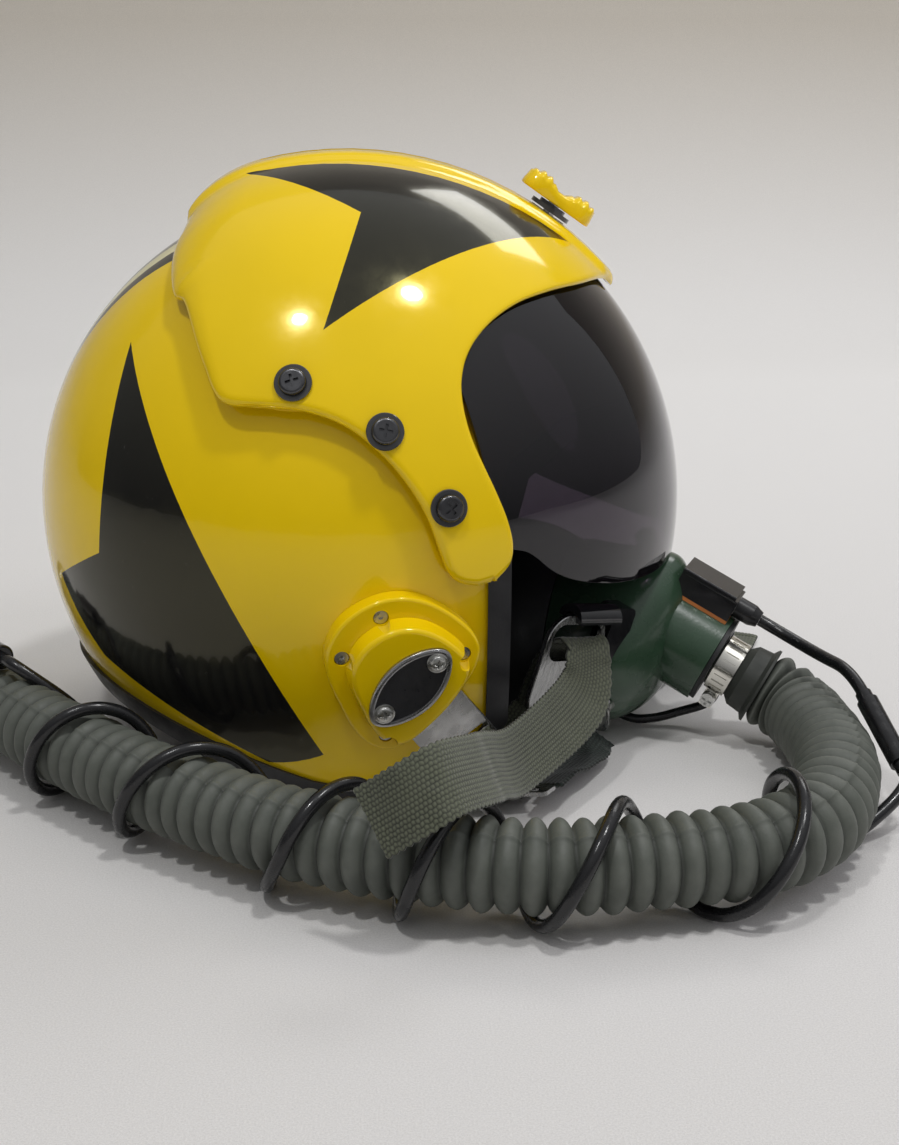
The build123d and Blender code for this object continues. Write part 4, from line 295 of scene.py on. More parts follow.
def lens_material():
    """Dark smoked lens that is clear enough to show the inside faintly, with a painted sheen that lightens its
    colour towards purple at grazing angles.
    """
    shade = Shade("smoked_lens")
    # Painted sheen: the colour turns lighter and more purple where the lens is seen edge-on
    rim = shade.node("ShaderNodeLayerWeight")
    rim.inputs["Blend"].default_value = 0.35
    shade.colour(shade.mix(rim.outputs["Facing"], (0.030, 0.022, 0.034), (0.062, 0.042, 0.060)))
    shade.rough(shade.ranged(shade.noise(60.0, 6.0, 0.7), 0.45, 0.8, 0.015, 0.06))
    shade.set(Transmission_Weight=0.93, IOR=1.46, Specular_IOR_Level=0.6, Coat_Weight=0.35, Coat_Roughness=0.01)
    return shade.material


def leather_material():
    shade = Shade("black_leather")
    cells = shade.node("ShaderNodeTexVoronoi", feature="DISTANCE_TO_EDGE")
    shade.link(shade.place, cells.inputs["Vector"])
    cells.inputs["Scale"].default_value = 620.0
    grain = shade.ranged(cells.outputs["Distance"], 0.0, 0.14, 0.0, 1.0, smooth=True)
    shade.colour(shade.mix(grain, (0.010, 0.010, 0.011), (0.030, 0.029, 0.031)))
    shade.rough(shade.ranged(shade.noise(40.0, 5.0), 0.3, 0.7, 0.34, 0.56))
    folds = shade.bump(shade.noise(75.0, 4.0), 0.0007)
    shade.normal(shade.bump(grain, 0.00018, after=folds))
    shade.set(Sheen_Weight=0.1)
    return shade.material


def knot_height(cord, row):
    """Height of the weave, 0 to 1: knots along each cord, every other cord shifted by half a knot."""
    shifted = row + 0.5 * (math.floor(cord + 1e-6) % 2)
    return abs(math.sin(math.pi * cord)) ** 0.6 * abs(math.sin(math.pi * shifted)) ** 0.5


def webbing_material(name, colour, wear):
    """Webbing coloured by the height of its weave, which is read from the ribbon's own coordinates: painted shade in
    the hollows and painted highlight on the knots.
    """
    shade = Shade(name)
    cords, rows, _ = shade.parts(shade.node("ShaderNodeUVMap", uv_map="weave").outputs[0])
    shifted = shade.math("ADD", rows, shade.math("MULTIPLY", shade.math("FLOOR", cords), 0.5))
    lengthwise = shade.math("ABSOLUTE", shade.math("SINE", shade.math("MULTIPLY", cords, math.pi)))
    knots = shade.math("ABSOLUTE", shade.math("SINE", shade.math("MULTIPLY", shifted, math.pi)))
    height = shade.math("MULTIPLY", shade.math("POWER", lengthwise, 0.6), shade.math("POWER", knots, 0.5))
    dusty = shade.ranged(shade.noise(95.0, 6.0, 0.7), 0.35, 0.75, 0.0, wear)
    # Painted shade and painted highlight: the weave's hollows are darkened and its knots lightened by their height
    body = shade.mix(height, tone(colour, 0.12), tone(colour, 1.35))
    shade.colour(shade.mix(dusty, body, tone(colour, 2.1)))
    shade.rough(shade.ranged(shade.noise(200.0, 4.0), 0.3, 0.7, 0.62, 0.86))
    fibre = shade.bump(shade.noise(2600.0, 2.0), 0.00006)
    shade.normal(shade.bump(height, 0.00015, after=fibre))
    shade.set(Sheen_Weight=0.35, Sheen_Roughness=0.45)
    return shade.material


def hose_material():
    """Matt moulded rubber, paler on the crests where it has rubbed, with painted shade darkening the grooves."""
    shade = Shade("hose_rubber")
    reach = shade.node("ShaderNodeAttribute", attribute_name="crest")
    cloud = shade.ranged(shade.noise(34.0, 5.0), 0.3, 0.7, 0.0, 1.0)
    body = shade.mix(cloud, (0.062, 0.070, 0.058), (0.084, 0.092, 0.077))
    worn = shade.math("MULTIPLY", reach.outputs["Fac"], shade.ranged(shade.noise(120.0, 5.0), 0.35, 0.65, 0.25, 0.9))
    # Painted shade: the grooves between the ribs are darkened towards black
    groove_painted_shade = shade.mix(shade.ranged(reach.outputs["Fac"], 0.0, 0.55, 0.65, 0.0), body, (0.012, 0.013, 0.011))
    shade.colour(shade.mix(worn, groove_painted_shade, (0.118, 0.126, 0.108)))
    shade.rough(shade.ranged(shade.noise(150.0, 6.0), 0.3, 0.7, 0.50, 0.68))
    shade.normal(shade.bump(shade.noise(1100.0, 4.0), 0.00009))
    return shade.material


LENS = lens_material()
LEATHER = leather_material()
WEBBING = webbing_material("olive_webbing", (0.080, 0.087, 0.056), 0.20)
DARK_WEBBING = webbing_material("dark_webbing", (0.012, 0.020, 0.015), 0.20)
HOSE_RUBBER = hose_material()

FINISHES = [
    (PAINT_SHELL, "helmet_shell"), (PAINT_HOUSING, "visor_housing"),
    (PAINT_YELLOW, "receiver_base_right receiver_base_left receiver_cover_right receiver_cover_left visor_knob"),
    (EDGE_RUBBER, "edge_roll"), (FOAM, "energy_liner earcup_spacers"),
    (LEATHER, "fitting_pads nape_pad ear_seals cheek_pads"), (CUP, "earcup_right earcup_left"),
    (PHONE, "earphones mic"), (DARK_SCREW, "housing_screws"),
    (STEEL, "receiver_screws badge_screws clamp_screw arm_studs visor_stud"),
    (WASHER, "housing_washers knob_washer"), (NYLON, "housing_spacers"), (LENS, "visor_lens"),
    (GLOSS_BLACK, "visor_slider mic_connector mask_hooks comm_plug"), (BOOT_BLACK, "connector_boot"),
    (BADGE, "badge_plate"),
    (PLATE_STEEL, "receiver_tongue_right receiver_tongue_left mask_buckle_right mask_buckle_left"),
    (PLATE_STEEL, "lower_arms strap_tab"),
    (WEBBING, "strap_tail_right strap_tail_left strap_lead_right strap_lead_left"),
    (DARK_WEBBING, "lower_strap_right lower_strap_left"), (GREEN, "mask_shell"), (FACE_RUBBER, "mask_faceform"),
    (GASKET, "port_gasket"), (VALVE, "valve_body valve_disc"), (ORANGE, "connector_stripe"),
    (HOSE_RUBBER, "hose_cuff oxygen_hose"), (BRIGHT_STEEL, "hose_clamp"), (ALLOY, "hose_connector"),
    (CORD_RUBBER, "comm_cord comm_winding mic_lead cord_splice")]
for finish, names in FINISHES:
    for name in names.split():
        NODES[name].data.materials.clear()
        NODES[name].data.materials.append(finish)


# ---- small helpers
def new_object(name, data, material, body="helmet"):
    made = bpy.data.objects.new(name, data)
    SCENE.collection.objects.link(made)
    data.materials.clear()
    data.materials.append(material)
    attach(made, body)
    return made


def mesh_from(name, points, faces):
    mesh = bpy.data.meshes.new(name)
    mesh.from_pydata([tuple(point) for point in points], [], faces)
    mesh.validate()
    mesh.update()
    for face in mesh.polygons:
        face.use_smooth = True
    return mesh


def ring_mesh(name, rings):
    """Closed form from rings of as many points each, with a flat face on the first and on the last ring."""
    count = len(rings[0])
    last = (len(rings) - 1) * count
    faces = []
    for low in range(0, last, count):
        for step in range(count):
            a, b = low + step, low + (step + 1) % count
            faces.append((a, b, b + count, a + count))
    faces.append(tuple(reversed(range(count))))
    faces.append(tuple(range(last, last + count)))
    return mesh_from(name, [place for ring in rings for place in ring], faces)


# ---- cords and hose
def cord_curve(name, points, radius, material):
    curve = bpy.data.curves.new(name, "CURVE")
    curve.dimensions = "3D"
    spline = curve.splines.new("NURBS")
    spline.points.add(len(points) - 1)
    for place, point in zip(spline.points, points):
        place.co = (*point, 1.0)
    spline.order_u = 3
    spline.use_endpoint_u = True
    curve.resolution_u = 12
    curve.bevel_depth = radius
    curve.bevel_resolution = 5
    curve.use_fill_caps = True
    return new_object(name, curve, material)


def evaluated_mesh(made):
    bpy.context.view_layer.update()
    return bpy.data.meshes.new_from_object(made.evaluated_get(bpy.context.evaluated_depsgraph_get()))


class Route:
    """A line of close points, asked by length."""

    def __init__(self, points):
        self.points = points
        self.reach = [0.0]
        for a, b in zip(points, points[1:]):
            self.reach.append(self.reach[-1] + (b - a).length)
        self.length = self.reach[-1]

    def at(self, length):
        length = min(max(length, 0.0), self.length)
        low = min(bisect_right(self.reach, length) - 1, len(self.reach) - 2)
        span = self.reach[low + 1] - self.reach[low]
        share = (length - self.reach[low]) / span if span else 0.0
        return self.points[low].lerp(self.points[low + 1], share)

    def along(self, length, step=0.003):
        return (self.at(length + step) - self.at(length - step)).normalized()


# The lines of the hose and of the cords; the solids follow the same ones
HOSE_POINTS = [
    (0.17199, -0.04541, 0.02444), (0.18504, -0.05122, 0.01747), (0.1865, -0.0840, 0.0182), (0.1845, -0.1160, 0.0205),
    (0.1760, -0.1480, 0.0225), (0.1620, -0.1790, 0.0225), (0.1340, -0.1990, 0.0225), (0.1010, -0.2045, 0.0225),
    (0.0660, -0.2080, 0.0225), (0.0340, -0.2010, 0.0225), (0.0040, -0.1895, 0.0225), (-0.0270, -0.1725, 0.0225),
    (-0.0560, -0.1475, 0.0225), (-0.0840, -0.1215, 0.0225), (-0.1090, -0.0925, 0.0225),
    (-0.1330, -0.0625, 0.0225), (-0.1530, -0.0345, 0.0225), (-0.1700, -0.0060, 0.0225),
    (-0.18204, 0.02309, 0.0225)]
hose_guide = cord_curve("hose_guide", HOSE_POINTS, 0.0, HOSE_RUBBER)
hose_route = Route([vertex.co.copy() for vertex in evaluated_mesh(hose_guide).vertices])
bpy.data.objects.remove(hose_guide)
RIBS = 72
RIB_SAMPLES = 12
HOSE_OUT = 0.0162
HOSE_ROOT = 0.0124
CREST_FULLNESS = 0.38
SEAM_RISE = 0.00028
SEAM_ANGLE = math.radians(118)
SEAM_EDGES = (-2.4, -1.3, 1.3, 2.4)
hose_angles = [2 * math.pi * step / 40 for step in range(40)]
hose_angles = sorted(hose_angles + [SEAM_ANGLE + math.radians(offset) for offset in SEAM_EDGES])
hose_rings, hose_crests = [], []
for ring in range(RIBS * RIB_SAMPLES + 1):
    length = hose_route.length * ring / (RIBS * RIB_SAMPLES)
    wave = 0.5 - 0.5 * math.cos(2 * math.pi * (ring % RIB_SAMPLES) / RIB_SAMPLES)
    crest = wave ** CREST_FULLNESS
    centre = hose_route.at(length)
    ahead = hose_route.along(length)
    level = ahead.cross(UP).normalized()
    upward = level.cross(ahead).normalized()
    rib = ring // RIB_SAMPLES
    swell = 0.00018 * math.sin(rib * 2.399) + 0.00012 * math.sin(rib * 0.71)
    hose_rings.append([])
    for angle in hose_angles:
        radius = HOSE_ROOT + (HOSE_OUT + swell - HOSE_ROOT) * crest
        if abs(angle - SEAM_ANGLE) < math.radians(1.5):
            radius += SEAM_RISE
        hose_rings[-1].append(centre + (level * math.cos(angle) + upward * math.sin(angle)) * radius)
        hose_crests.append(crest)
hose_mesh = ring_mesh("breathing_hose", hose_rings)
crest_layer = hose_mesh.attributes.new("crest", "FLOAT", "POINT")
crest_layer.data.foreach_set("value", hose_crests)
breathing_hose = new_object("breathing_hose", hose_mesh, HOSE_RUBBER)
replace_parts(breathing_hose, "oxygen_hose")
path = [hose_route.at(hose_route.length * step / 240) for step in range(241)]

CORD_POINTS = [
    (0.16976, -0.04442, 0.05366), (0.17953, -0.04877, 0.04844), (0.1900, -0.0680, 0.0455),
    (0.19708, -0.08674, 0.04567), (0.1994, -0.0970, 0.0399)]
comm_line = cord_curve("comm_line", CORD_POINTS, 0.0025, CORD_RUBBER)
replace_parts(comm_line, "comm_cord")

LEAD_POINTS = [
    (0.1090, -0.0190, 0.0080), (0.1180, -0.0240, 0.0027), (0.1300, -0.0255, 0.0030), (0.1420, -0.0240, 0.0057),
    (0.1542, -0.02873, 0.01097), (0.15888, -0.02096, 0.01621), (0.16405, -0.01451, 0.02965),
    (0.16492, -0.01326, 0.0462), (0.16173, -0.01567, 0.06049), (0.15705, -0.02015, 0.06458),
    (0.15363, -0.02782, 0.06458)]
mic_line = cord_curve("mic_line", LEAD_POINTS, 0.0020, CORD_RUBBER)
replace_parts(mic_line, "mic_lead")

# The cord goes round the hose from the splice sleeve to its plug
WINDING_SHARES = [
    (0.0, 0.939), (1.0, 1.793), (2.0, 2.423), (3.0, 2.887), (4.0, 3.330), (5.0, 4.045), (6.0, 4.600),
    (6.25, 4.720), (6.75, 4.980)]
SPLICE_END = Vector((0.2071, -0.1310, 0.0208))
SPLICE_ALONG = Vector((0.19371, -0.85534, -0.4805))
PLUG_START = Vector((-0.14274, -0.04887, 0.04475))
PLUG_ALONG = Vector((-0.58124, 0.81373, 0.0))
TURN_POINTS = 12
TURNS = 6.45
FIRST_TURN = 0.18
CAD_HOSE_LENGTH = 0.5982
WINDING_RADIUS = 0.0202


def winding_place(turn):
    """Point of the cord after so many turns; the shares say how far along the hose each turn has come, in dm."""
    for (before, start), (after, end) in zip(WINDING_SHARES, WINDING_SHARES[1:]):
        if turn <= after:
            break
    length = (start + (end - start) * (turn - before) / (after - before)) * 0.1
    length *= hose_route.length / CAD_HOSE_LENGTH
    centre = hose_route.at(length)
    side = UP.cross(hose_route.along(length)).normalized()
    angle = 2 * math.pi * (turn + 0.25)
    radius = WINDING_RADIUS + 0.0004 * math.sin(turn * 2.1)
    lift = max(0.0, math.cos(angle)) * 0.0010
    return centre + UP * (radius * math.cos(angle) + lift) + side * (radius * math.sin(angle))


winding_points = [SPLICE_END, SPLICE_END + SPLICE_ALONG * 0.006]
winding_points += [winding_place(FIRST_TURN + step / TURN_POINTS) for step in range(int(TURNS * TURN_POINTS))]
winding_points += [PLUG_START - PLUG_ALONG * 0.012, PLUG_START - PLUG_ALONG * 0.004, PLUG_START]
winding_line = cord_curve("winding_line", winding_points, 0.0025, CORD_RUBBER)
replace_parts(winding_line, "comm_winding")


# ---- webbing
def smooth_line(points, share):
    """Point on a Catmull-Rom line through all the points."""
    span = share * (len(points) - 1)
    index = min(int(span), len(points) - 2)
    t = span - index
    p1, p2 = points[index], points[index + 1]
    p0 = points[index - 1] if index > 0 else p1 * 2 - p2
    p3 = points[index + 2] if index + 2 < len(points) else p2 * 2 - p1
    return 0.5 * ((2 * p1) + (p2 - p0) * t + (2 * p0 - 5 * p1 + 4 * p2 - p3) * t ** 2
                  + (3 * p1 - p0 - 3 * p2 + p3) * t ** 3)


KNOT_PITCH = 0.0015
CORD_PITCH = 0.0017
KNOT_RELIEF = 0.00042
SELVEDGE = 0.00032
HEM_RISE = 0.00035
WEBBING_THICKNESS = 0.0018
WIDE, NARROW = 0.0254, 0.016


def ribbon(name, stations, width, material, node, hem=0.0):
    """Webbing along its stations, each a place and the way across, with a raised hem at its end where asked."""
    points = [Vector(point) for point, across in stations]
    widths = [Vector(stations[0][1]).normalized()]
    for point, across in stations[1:]:
        direction = Vector(across).normalized()
        widths.append(direction if direction.dot(widths[-1]) > 0 else -direction)
    fine = [(smooth_line(points, step / 900), smooth_line(widths, step / 900).normalized()) for step in range(901)]
    reach = [0.0]
    for (a, u), (b, v) in zip(fine, fine[1:]):
        reach.append(reach[-1] + (b - a).length)
    steps = int(reach[-1] / (KNOT_PITCH / 4))
    cords = round(width / CORD_PITCH)
    columns = 4 * cords
    places, flats = [], []
    index = 0
    for step in range(steps + 1):
        length = reach[-1] * step / steps
        while index < len(reach) - 2 and reach[index + 1] < length:
            index += 1
        share = (length - reach[index]) / max(reach[index + 1] - reach[index], 1e-9)
        centre = fine[index][0].lerp(fine[index + 1][0], share)
        across = fine[index][1].lerp(fine[index + 1][1], share)
        low = max(index - 6, 0)
        high = min(index + 7, len(fine) - 1)
        along = (fine[high][0] - fine[low][0]).normalized()
        across = (across - along * across.dot(along)).normalized()
        out = along.cross(across).normalized()
        row_place = step / 4
        scallop = SELVEDGE * math.cos(math.pi * row_place)
        half = width / 2 - 0.0003 + scallop
        wave = 0.00025 * noise.noise(Vector((length * 55.0, width * 90.0, 3.0)))
        extra = HEM_RISE if hem and reach[-1] - length < hem else 0.0
        for row in range(2):
            for column in range(columns + 1):
                u = -1 + 2 * column / columns
                if row:
                    u = -u
                edge = max(0.0, 1 - abs(u) ** 14)
                cord_place = (u + 1) / 2 * cords
                relief = KNOT_RELIEF * (knot_height(cord_place, row_place) - 0.7) * edge
                lift = (WEBBING_THICKNESS / 2 + extra) * (0.40 + 0.60 * edge) + relief
                curl = 0.0004 * u * u
                level = lift if row == 0 else -lift
                places.append(centre + across * (half * u) + out * (level + wave + curl))
                flats.append((cord_place, row_place))
    around = 2 * (columns + 1)
    mesh = ring_mesh(name, [places[step * around:(step + 1) * around] for step in range(steps + 1)])
    layer = mesh.uv_layers.new(name="weave")
    for loop in mesh.loops:
        layer.data[loop.index].uv = flats[loop.vertex_index]
    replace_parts(new_object(name, mesh, material), node)


# Stations of the webbing: a place on its middle line and the way across
LEAD_RIGHT = [
    ((0.04026, -0.12037, 0.03153), (0.791, 0.035, 0.611)), ((0.04274, -0.12034, 0.02832), (0.791, 0.035, 0.611)),
    ((0.04609, -0.11984, 0.02395), (0.791, 0.035, 0.611)), ((0.049, -0.1205, 0.0145), (0.932, 0.0, 0.362)),
    ((0.050, -0.112, 0.0065), (0.973, -0.205, 0.102)), ((0.055, -0.099, 0.0045), (0.949, -0.316, 0.0)),
    ((0.064, -0.083, 0.009), (0.995, 0.105, 0.0)), ((0.07376, -0.06515, 0.0229), (0.764, 0.612, -0.204)),
    ((0.07788, -0.06585, 0.03627), (0.764, 0.612, -0.204)), ((0.08234, -0.06769, 0.04744), (0.764, 0.612, -0.204)),
    ((0.0864, -0.07047, 0.05433), (0.764, 0.612, -0.204))]
LEAD_LEFT = [
    ((0.04026, 0.12037, 0.03153), (0.791, -0.035, 0.611)), ((0.04274, 0.12034, 0.02832), (0.791, -0.035, 0.611)),
    ((0.04609, 0.11984, 0.02395), (0.791, -0.035, 0.611)), ((0.062, 0.115, 0.019), (0.693, 0.198, 0.693)),
    ((0.085, 0.096, 0.019), (0.458, 0.204, 0.865)), ((0.107, 0.070, 0.022), (0.465, 0.349, 0.814)),
    ((0.12093, 0.0408, 0.0229), (-0.057, 0.977, 0.204)), ((0.12421, 0.0382, 0.03627), (-0.057, 0.977, 0.204)),
    ((0.12856, 0.03613, 0.04744), (-0.057, 0.977, 0.204)), ((0.13335, 0.03497, 0.05433), (-0.057, 0.977, 0.204))]
TAIL_RIGHT = [
    ((0.08737, -0.07145, 0.05507), (0.764, 0.612, -0.204)), ((0.09103, -0.07546, 0.05674), (0.764, 0.612, -0.204)),
    ((0.09272, -0.07932, 0.05149), (0.764, 0.612, -0.204)), ((0.088, -0.093, 0.038), (0.764, 0.204, -0.612)),
    ((0.060, -0.140, 0.034), (0.360, -0.150, -0.921)), ((0.0475, -0.172, 0.0445), (0.341, -0.351, -0.872)),
    ((0.0423, -0.194, 0.0528), (0.318, -0.597, -0.736)), ((0.0295, -0.217, 0.0595), (0.300, -0.550, -0.780)),
    ((0.018, -0.222, 0.055), (0.302, -0.402, -0.865)), ((0.0049, -0.217, 0.0446), (0.260, -0.400, -0.879))]
TAIL_LEFT = [
    ((0.13472, 0.03489, 0.05507), (0.057, -0.977, -0.204)), ((0.14015, 0.03486, 0.05674), (0.057, -0.977, -0.204)),
    ((0.14414, 0.03619, 0.05149), (0.057, -0.977, -0.204)), ((0.161, 0.040, 0.028), (0.621, -0.777, -0.104)),
    ((0.172, 0.0545, 0.010), (0.707, -0.707, 0.0)), ((0.182, 0.071, 0.0034), (0.707, -0.707, 0.0)),
    ((0.1895, 0.089, 0.0027), (0.824, -0.567, 0.0))]
LOWER_RIGHT = [
    ((0.1003, -0.063, 0.0112), (0.824, 0.567, 0.0)), ((0.098, -0.067, 0.009), (0.781, 0.625, 0.0)),
    ((0.093, -0.076, 0.0075), (0.781, 0.625, 0.0)), ((0.0855, -0.090, 0.0078), (0.806, 0.591, 0.0)),
    ((0.078, -0.102, 0.0095), (0.848, 0.530, 0.0)), ((0.0725, -0.1125, 0.0108), (0.884, 0.468, 0.0))]
LOWER_LEFT = [
    ((0.13709, 0.01964, 0.0112), (0.130, -0.991, 0.0)), ((0.13853, 0.02402, 0.009), (0.058, -0.998, 0.0)),
    ((0.14187, 0.03376, 0.0075), (0.058, -0.998, 0.0)), ((0.14725, 0.0487, 0.0078), (0.100, -0.995, 0.0)),
    ((0.15115, 0.06231, 0.0095), (0.174, -0.985, 0.0)), ((0.15528, 0.07342, 0.0108), (0.244, -0.970, 0.0))]
ribbon("webbing_lead_right", LEAD_RIGHT, WIDE, WEBBING, "strap_lead_right")
ribbon("webbing_lead_left", LEAD_LEFT, WIDE, WEBBING, "strap_lead_left")
ribbon("webbing_tail_right", TAIL_RIGHT, WIDE, WEBBING, "strap_tail_right", hem=0.0035)
ribbon("webbing_tail_left", TAIL_LEFT, WIDE, WEBBING, "strap_tail_left", hem=0.0035)
ribbon("webbing_lower_right", LOWER_RIGHT, NARROW, DARK_WEBBING, "lower_strap_right")
ribbon("webbing_lower_left", LOWER_LEFT, NARROW, DARK_WEBBING, "lower_strap_left")


# ---- plate on the receiver
# The frame of the plate in the solids: its middle on the cover, and the ways along, across and out of it
BADGE_MIDDLE = Vector((0.020682, -0.128289, 0.057540))
BADGE_LONG = Vector((0.7122, 0.0131, 0.7018))
BADGE_SHORT = Vector((-0.6882, -0.1837, 0.7018))
BADGE_OUT = Vector((0.1381, -0.9829, -0.1219))
PLATE_HALF = (0.0195, 0.0112)
PLATE_SCREW = 0.0138
FACE_INSET = 0.0018
FACE_LEVEL = 0.00045
# How far each ring of the plate lies inside its outline, and at which height: a raised rim round a flat face
PLATE_STEPS = [(0.0, -0.0009), (0.0, 0.0003), (0.0001, 0.0005), (0.0004, 0.0007), (0.0016, 0.0008),
               (0.0021, 0.0006), (0.0023, 0.0002), (0.0030, 0.00012)]


def plate_ring(inset, height):
    """Long oval with narrowed ends."""
    ring = []
    for step in range(96):
        angle = 2 * math.pi * step / 96
        u = (PLATE_HALF[0] - inset) * math.cos(angle)
        v = (PLATE_HALF[1] - inset) * math.sin(angle) * (1 - 0.20 * math.cos(angle) ** 2)
        ring.append(BADGE_MIDDLE + BADGE_LONG * u + BADGE_SHORT * v + BADGE_OUT * height)
    return ring


badge = new_object("receiver_plate", ring_mesh("receiver_plate", [plate_ring(*step) for step in PLATE_STEPS]), BADGE)
badge.data.materials.append(BADGE_FACE)
for face in badge.data.polygons:
    inner = face.center - BADGE_MIDDLE
    u = inner.dot(BADGE_LONG) / (PLATE_HALF[0] - FACE_INSET)
    v = inner.dot(BADGE_SHORT) / (PLATE_HALF[1] - FACE_INSET)
    if 0 < inner.dot(BADGE_OUT) < FACE_LEVEL and u * u + v * v < 1:
        face.material_index = 1
badge.data.set_sharp_from_angle(angle=math.radians(40))
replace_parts(badge, "badge_plate")


SCREW_RADIUS, SCREW_HEIGHT, SCREW_STEPS = 0.0029, 0.0014, 72
CROSS_REACH, CROSS_HALF, CROSS_DEPTH = 0.0018, 0.00042, 0.0009
WASHER_TOP = 0.0007
# Rings of the washer and of the side of the head: share of the head's radius, and height
WASHER_RINGS = [(1.36, 0.0), (1.36, 0.0005), (1.30, 0.0006), (1.04, 0.0006), (1.0, WASHER_TOP),
                (1.0, WASHER_TOP + 0.35 * SCREW_HEIGHT)]


def cross_screw(name, middle, along, across, out):
    """Domed head with a cross recess on a flat washer, as one closed form."""
    domes = [math.radians(10 + 80 * step / 16) for step in range(17)]
    levels = [(share, level, False) for share, level in WASHER_RINGS]
    levels += [(math.cos(a), WASHER_TOP + SCREW_HEIGHT * (0.35 + 0.65 * math.sin(a)), True) for a in domes]
    rings = []
    for share, level, dome in levels:
        rings.append([])
        for step in range(SCREW_STEPS):
            angle = 2 * math.pi * step / SCREW_STEPS
            u, v = SCREW_RADIUS * share * math.cos(angle), SCREW_RADIUS * share * math.sin(angle)
            depth = 0.0
            if dome:
                narrow, wide = sorted((abs(u), abs(v)))
                depth = CROSS_DEPTH * max(0.0, min(1.0, (CROSS_HALF - narrow) / 0.00014)) * max(
                    0.0, min(1.0, (CROSS_REACH - wide) / 0.0003))
            rings[-1].append(middle + along * u + across * v + out * (level - depth))
    return ring_mesh(name, rings)


for side, place in ((-1, "low"), (1, "high")):
    screw_mesh = cross_screw("plate_screw", BADGE_MIDDLE + BADGE_LONG * side * PLATE_SCREW + BADGE_OUT * 0.0002,
                             (BADGE_LONG * 0.8 + BADGE_SHORT * 0.6 * side).normalized(),
                             (BADGE_SHORT * 0.8 - BADGE_LONG * 0.6 * side).normalized(), BADGE_OUT)
    screw = new_object("plate_screw_" + place, screw_mesh, STEEL)
    screw.data.set_sharp_from_angle(angle=math.radians(38))
    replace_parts(screw, "badge_screws")


# ---- visor housing and lens
# Half sizes of the forms that the cover and the lens lie on
COVER_SIZE = Vector((0.1435, 0.1270, 0.1435))
LENS_SIZE = Vector((0.1396, 0.1230, 0.1396))
# Matching places in side view, as shares of the form: on the rear and lower edge and on the brow and cut-out
# edge, from the crown to the tab
COVER_EDGES = [
    ((-0.474, 0.8805), (0.775, 0.632)), ((-0.489, 0.848), (0.738, 0.664)), ((-0.502, 0.807), (0.648, 0.677)),
    ((-0.494, 0.750), (0.540, 0.673)), ((-0.470, 0.691), (0.450, 0.655)), ((-0.430, 0.666), (0.380, 0.622)),
    ((-0.376, 0.530), (0.330, 0.580)), ((-0.325, 0.440), (0.300, 0.535)), ((-0.214, 0.430), (0.287, 0.487)),
    ((-0.110, 0.421), (0.287, 0.440)), ((-0.010, 0.385), (0.297, 0.385)), ((0.080, 0.315), (0.315, 0.330)),
    ((0.150, 0.230), (0.342, 0.270)), ((0.195, 0.150), (0.372, 0.205)), ((0.225, 0.065), (0.400, 0.135)),
    ((0.246, 0.010), (0.415, 0.070)), ((0.275, -0.020), (0.408, 0.020)), ((0.320, -0.033), (0.370, -0.022))]
# Width and depth of the rolled edge at the same places, rear and lower edge first
COVER_ROLLS = [
    (0.034, 0.0124), (0.034, 0.0122), (0.033, 0.0112), (0.028, 0.0085), (0.019, 0.0055), (0.010, 0.0036),
    (0.0052, 0.0028), (0.0036, 0.0024)] + [(0.0030, 0.0021)] * 10
# Share of the roll that starts with a crease
CREASE = 0.14
BROW_ROLLS = [(0.0024, 0.0016)] * 4 + [(0.0020, 0.0013)] * 14
# The same for the lower and the upper edge of the lens, which the cover hides
LENS_EDGES = [
    ((0.9950, -0.100), (0.494, 0.8690)), ((0.9780, -0.118), (0.480, 0.850)), ((0.952, -0.131), (0.462, 0.820)),
    ((0.912, -0.1345), (0.444, 0.788)), ((0.839, -0.130), (0.424, 0.750)), ((0.750, -0.115), (0.402, 0.712)),
    ((0.668, -0.092), (0.380, 0.672)), ((0.591, -0.061), (0.358, 0.632)), ((0.538, -0.027), (0.338, 0.596)),
    ((0.495, 0.014), (0.320, 0.562)), ((0.462, 0.038), (0.304, 0.530)), ((0.425, 0.050), (0.292, 0.505)),
    ((0.392, 0.075), (0.284, 0.488))]


def on_form(x, z, level=False):
    """Direction on the unit form at a place in side view; level places lie on the middle line."""
    return Vector((x, 0.0 if level else -math.sqrt(max(0.0, 1.0 - x * x - z * z)), z)).normalized()


def both_sides(places, steps):
    """Smooth line on the unit form from the left tab over the middle to the right tab."""
    right = [on_form(x, z, level=not index) for index, (x, z) in enumerate(places)]
    line = [Vector((p.x, -p.y, p.z)) for p in right[:0:-1]] + right
    return [smooth_line(line, step / steps).normalized() for step in range(steps + 1)]


def spread(values, steps):
    """Values given from the middle to the tab, read at each step from the left tab to the right tab."""
    line = [Vector(value) for value in values[:0:-1]] + [Vector(value) for value in values]
    found = []
    for step in range(steps + 1):
        span = step / steps * (len(line) - 1)
        index = min(int(span), len(line) - 2)
        found.append(line[index].lerp(line[index + 1], span - index))
    return found


def on_surface(direction, size):
    place = Vector((direction.x * size.x, direction.y * size.y, direction.z * size.z))
    out = Vector((direction.x / size.x, direction.y / size.y, direction.z / size.z)).normalized()
    return place, out


RIDGE_HALF, RIDGE_SLOPE, RIDGE_END = 0.0190, 0.0060, 0.004


